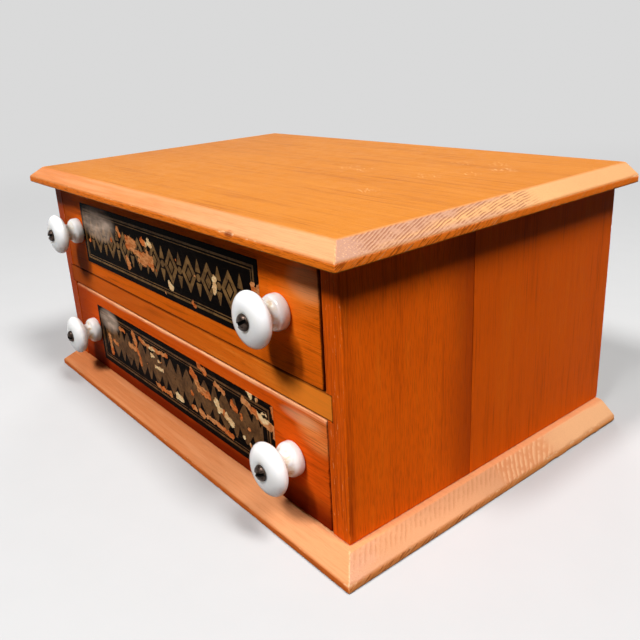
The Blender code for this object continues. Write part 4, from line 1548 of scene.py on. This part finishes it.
def add_camera():
    lens = bpy.data.cameras.new("camera")
    lens.sensor_width = 36.0
    lens.lens = CAMERA_LENS
    lens.shift_x, lens.shift_y = CAMERA_SHIFT
    lens.clip_start = 0.01
    camera = put_in_scene("camera", lens)
    camera.location = CAMERA_PLACE
    camera.rotation_euler = [math.radians(angle) for angle in CAMERA_ANGLES]
    bpy.context.scene.camera = camera


# The cabinet


def make_side_board(node, sign, joint, let_in, wood):
    """One board of a side, cut out where the rail or the back panel is let in."""
    form = WornBoard(node, "case", "side_wood", SIDE_ROUND, BOARD_NICKS, (joint,), rub=0.45)
    board = make_worn_board(form)[0]
    dress(board, wood)
    low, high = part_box(node)
    first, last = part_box(let_in)
    inner = low.x if sign > 0 else high.x
    left, right = sorted((inner - sign * OVERCUT, sign * (last.x + BOARD_GAP)))
    if let_in == "drawer_rail":
        cut_low = (left, first.y - OVERCUT, first.z - BOARD_GAP)
        cut_high = (right, last.y + BOARD_GAP, last.z + BOARD_GAP)
    else:
        cut_low = (left, first.y - BOARD_GAP, low.z - OVERCUT)
        cut_high = (right, high.y + OVERCUT, high.z + OVERCUT)
    cut_away(board, cut_low, cut_high)


def make_case():
    top = make_moulded_board("top_board", TOP_FASCIA, TOP_INSET, TOP_CHIPS, 0.0)
    base = make_moulded_board("base_board", BASE_FASCIA, BASE_INSET, BASE_CHIPS, 1.0)
    dress(top, honey_wood(TOP_LOOK))
    dress(base, honey_wood(BASE_LOOK))
    front, joint = (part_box(f"right_side_{place}_board")[0].y / MM for place in ("front", "rear"))
    side = side_wood(SIDE_LOOK, front, joint)
    for label, sign in (("left", -1), ("right", 1)):
        make_side_board(f"{label}_side_front_board", sign, (1, 1), "drawer_rail", side)
        make_side_board(f"{label}_side_rear_board", sign, (1, 0), "back_panel", side)
    form = WornBoard("drawer_rail", "case", "rail_wood", RAIL_ROUND, BOARD_NICKS, rub=0.3)
    low, high = (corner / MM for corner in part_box("drawer_rail"))
    dress(make_worn_board(form)[0], rail_wood(RAIL_LOOK, low, high))


@dataclass(frozen=True)
class DrawerLook:
    """What differs between the two drawers: the front's wood, wear and painted light, and the label's."""

    name: str
    wood: Wood
    rounding: float
    rubbed: tuple
    painted_sheen: tuple  # (x, z) of a painted sheen: a lighter patch that stands in for a reflection on the varnish
    top_pale: float
    low_dark: float
    flakes: tuple
    creams: tuple
    scatter: float
    bold: float
    reflection_patch: tuple  # (x, z, reach along X, reach along Z) of a painted pale reflection on the varnish
    knob_reflection: tuple  # (x, z, reach along X, reach along Z) of a painted pale reflection of the knob on the label
    brown: float
    gold: tuple
    seed: float


UPPER_DRAWER = DrawerLook(
    name="upper",
    wood=FRONT_LOOK,
    rounding=0.9 * MM,
    rubbed=(),
    painted_sheen=(158, 151),
    top_pale=0.0,
    low_dark=0.1,
    flakes=UPPER_FLAKES,
    creams=UPPER_CREAM,
    scatter=1.35,
    bold=0.0,
    reflection_patch=(162, 158, 20, 13),
    knob_reflection=(-101, 149, 38, 17),
    brown=0.12,
    gold=(srgb(92, 64, 32), srgb(136, 98, 52)),
    seed=3.0,
)
LOWER_DRAWER = DrawerLook(
    name="lower",
    wood=LOWER_LOOK,
    rounding=1.7 * MM,
    rubbed=((2, 1),),
    painted_sheen=(166, 72),
    top_pale=0.75,
    low_dark=1.0,
    flakes=LOWER_FLAKES,
    creams=LOWER_CREAM,
    scatter=0.95,
    bold=1.3,
    reflection_patch=(150, 77, 22, 5),
    knob_reflection=(-107, 65, 22, 12),
    brown=0.45,
    gold=(srgb(78, 48, 22), srgb(118, 78, 40)),
    seed=8.0,
)


def make_drawer(drawer, glaze, steel):
    name = drawer.name
    node = f"{name}_drawer_front"
    body = f"{name}_drawer"
    form = WornBoard(node, body, "front_wood", drawer.rounding, FRONT_NICKS, rubbed=drawer.rubbed)
    front, points, worn = make_worn_board(form)
    keep_inside(front, node, points, {"worn": worn})
    low, high = (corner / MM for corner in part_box(node))
    dress(front, drawer_wood(drawer, low, high))
    for side in ("left", "right"):
        dress(make_knob(name, side), glaze)
        dress(make_bolt(name, side), steel)
    low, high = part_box(f"{name}_label")
    materials = (label_bared(drawer, (low + high) / 2), label_film(drawer), label_gold(drawer))
    for layer, material in zip(make_label(drawer), materials):
        dress(layer, material)


def make_drawers():
    glaze, steel = porcelain(), old_steel()
    for drawer in (UPPER_DRAWER, LOWER_DRAWER):
        make_drawer(drawer, glaze, steel)


def dress_cad_nodes():
    """The plain pieces inside and behind keep their CAD meshes."""
    steel = old_steel()
    inner = [plain_wood(inner_wood(axis)) for axis in AXES]
    for row in frame["record"]["subparts"]:
        obj = frame["nodes"][row["node"]]
        if row["material_slot"] == "old_steel":
            dress(obj, steel)
        elif row["material_slot"] == "inner_wood":
            low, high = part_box(row["node"])
            extents = list(high - low)
            dress(obj, inner[extents.index(max(extents))])


make_case()
make_drawers()
dress_cad_nodes()
add_floor()
add_world()
for name, light in (("front", FRONT_LIGHT), ("corner", CORNER_LIGHT), ("right", RIGHT_LIGHT)):
    add_light(f"{name}_light", *light)
add_light("rear_light", *REAR_LIGHT, gleams=False)
add_camera()
bpy.context.scene.view_settings.view_transform = "Standard"
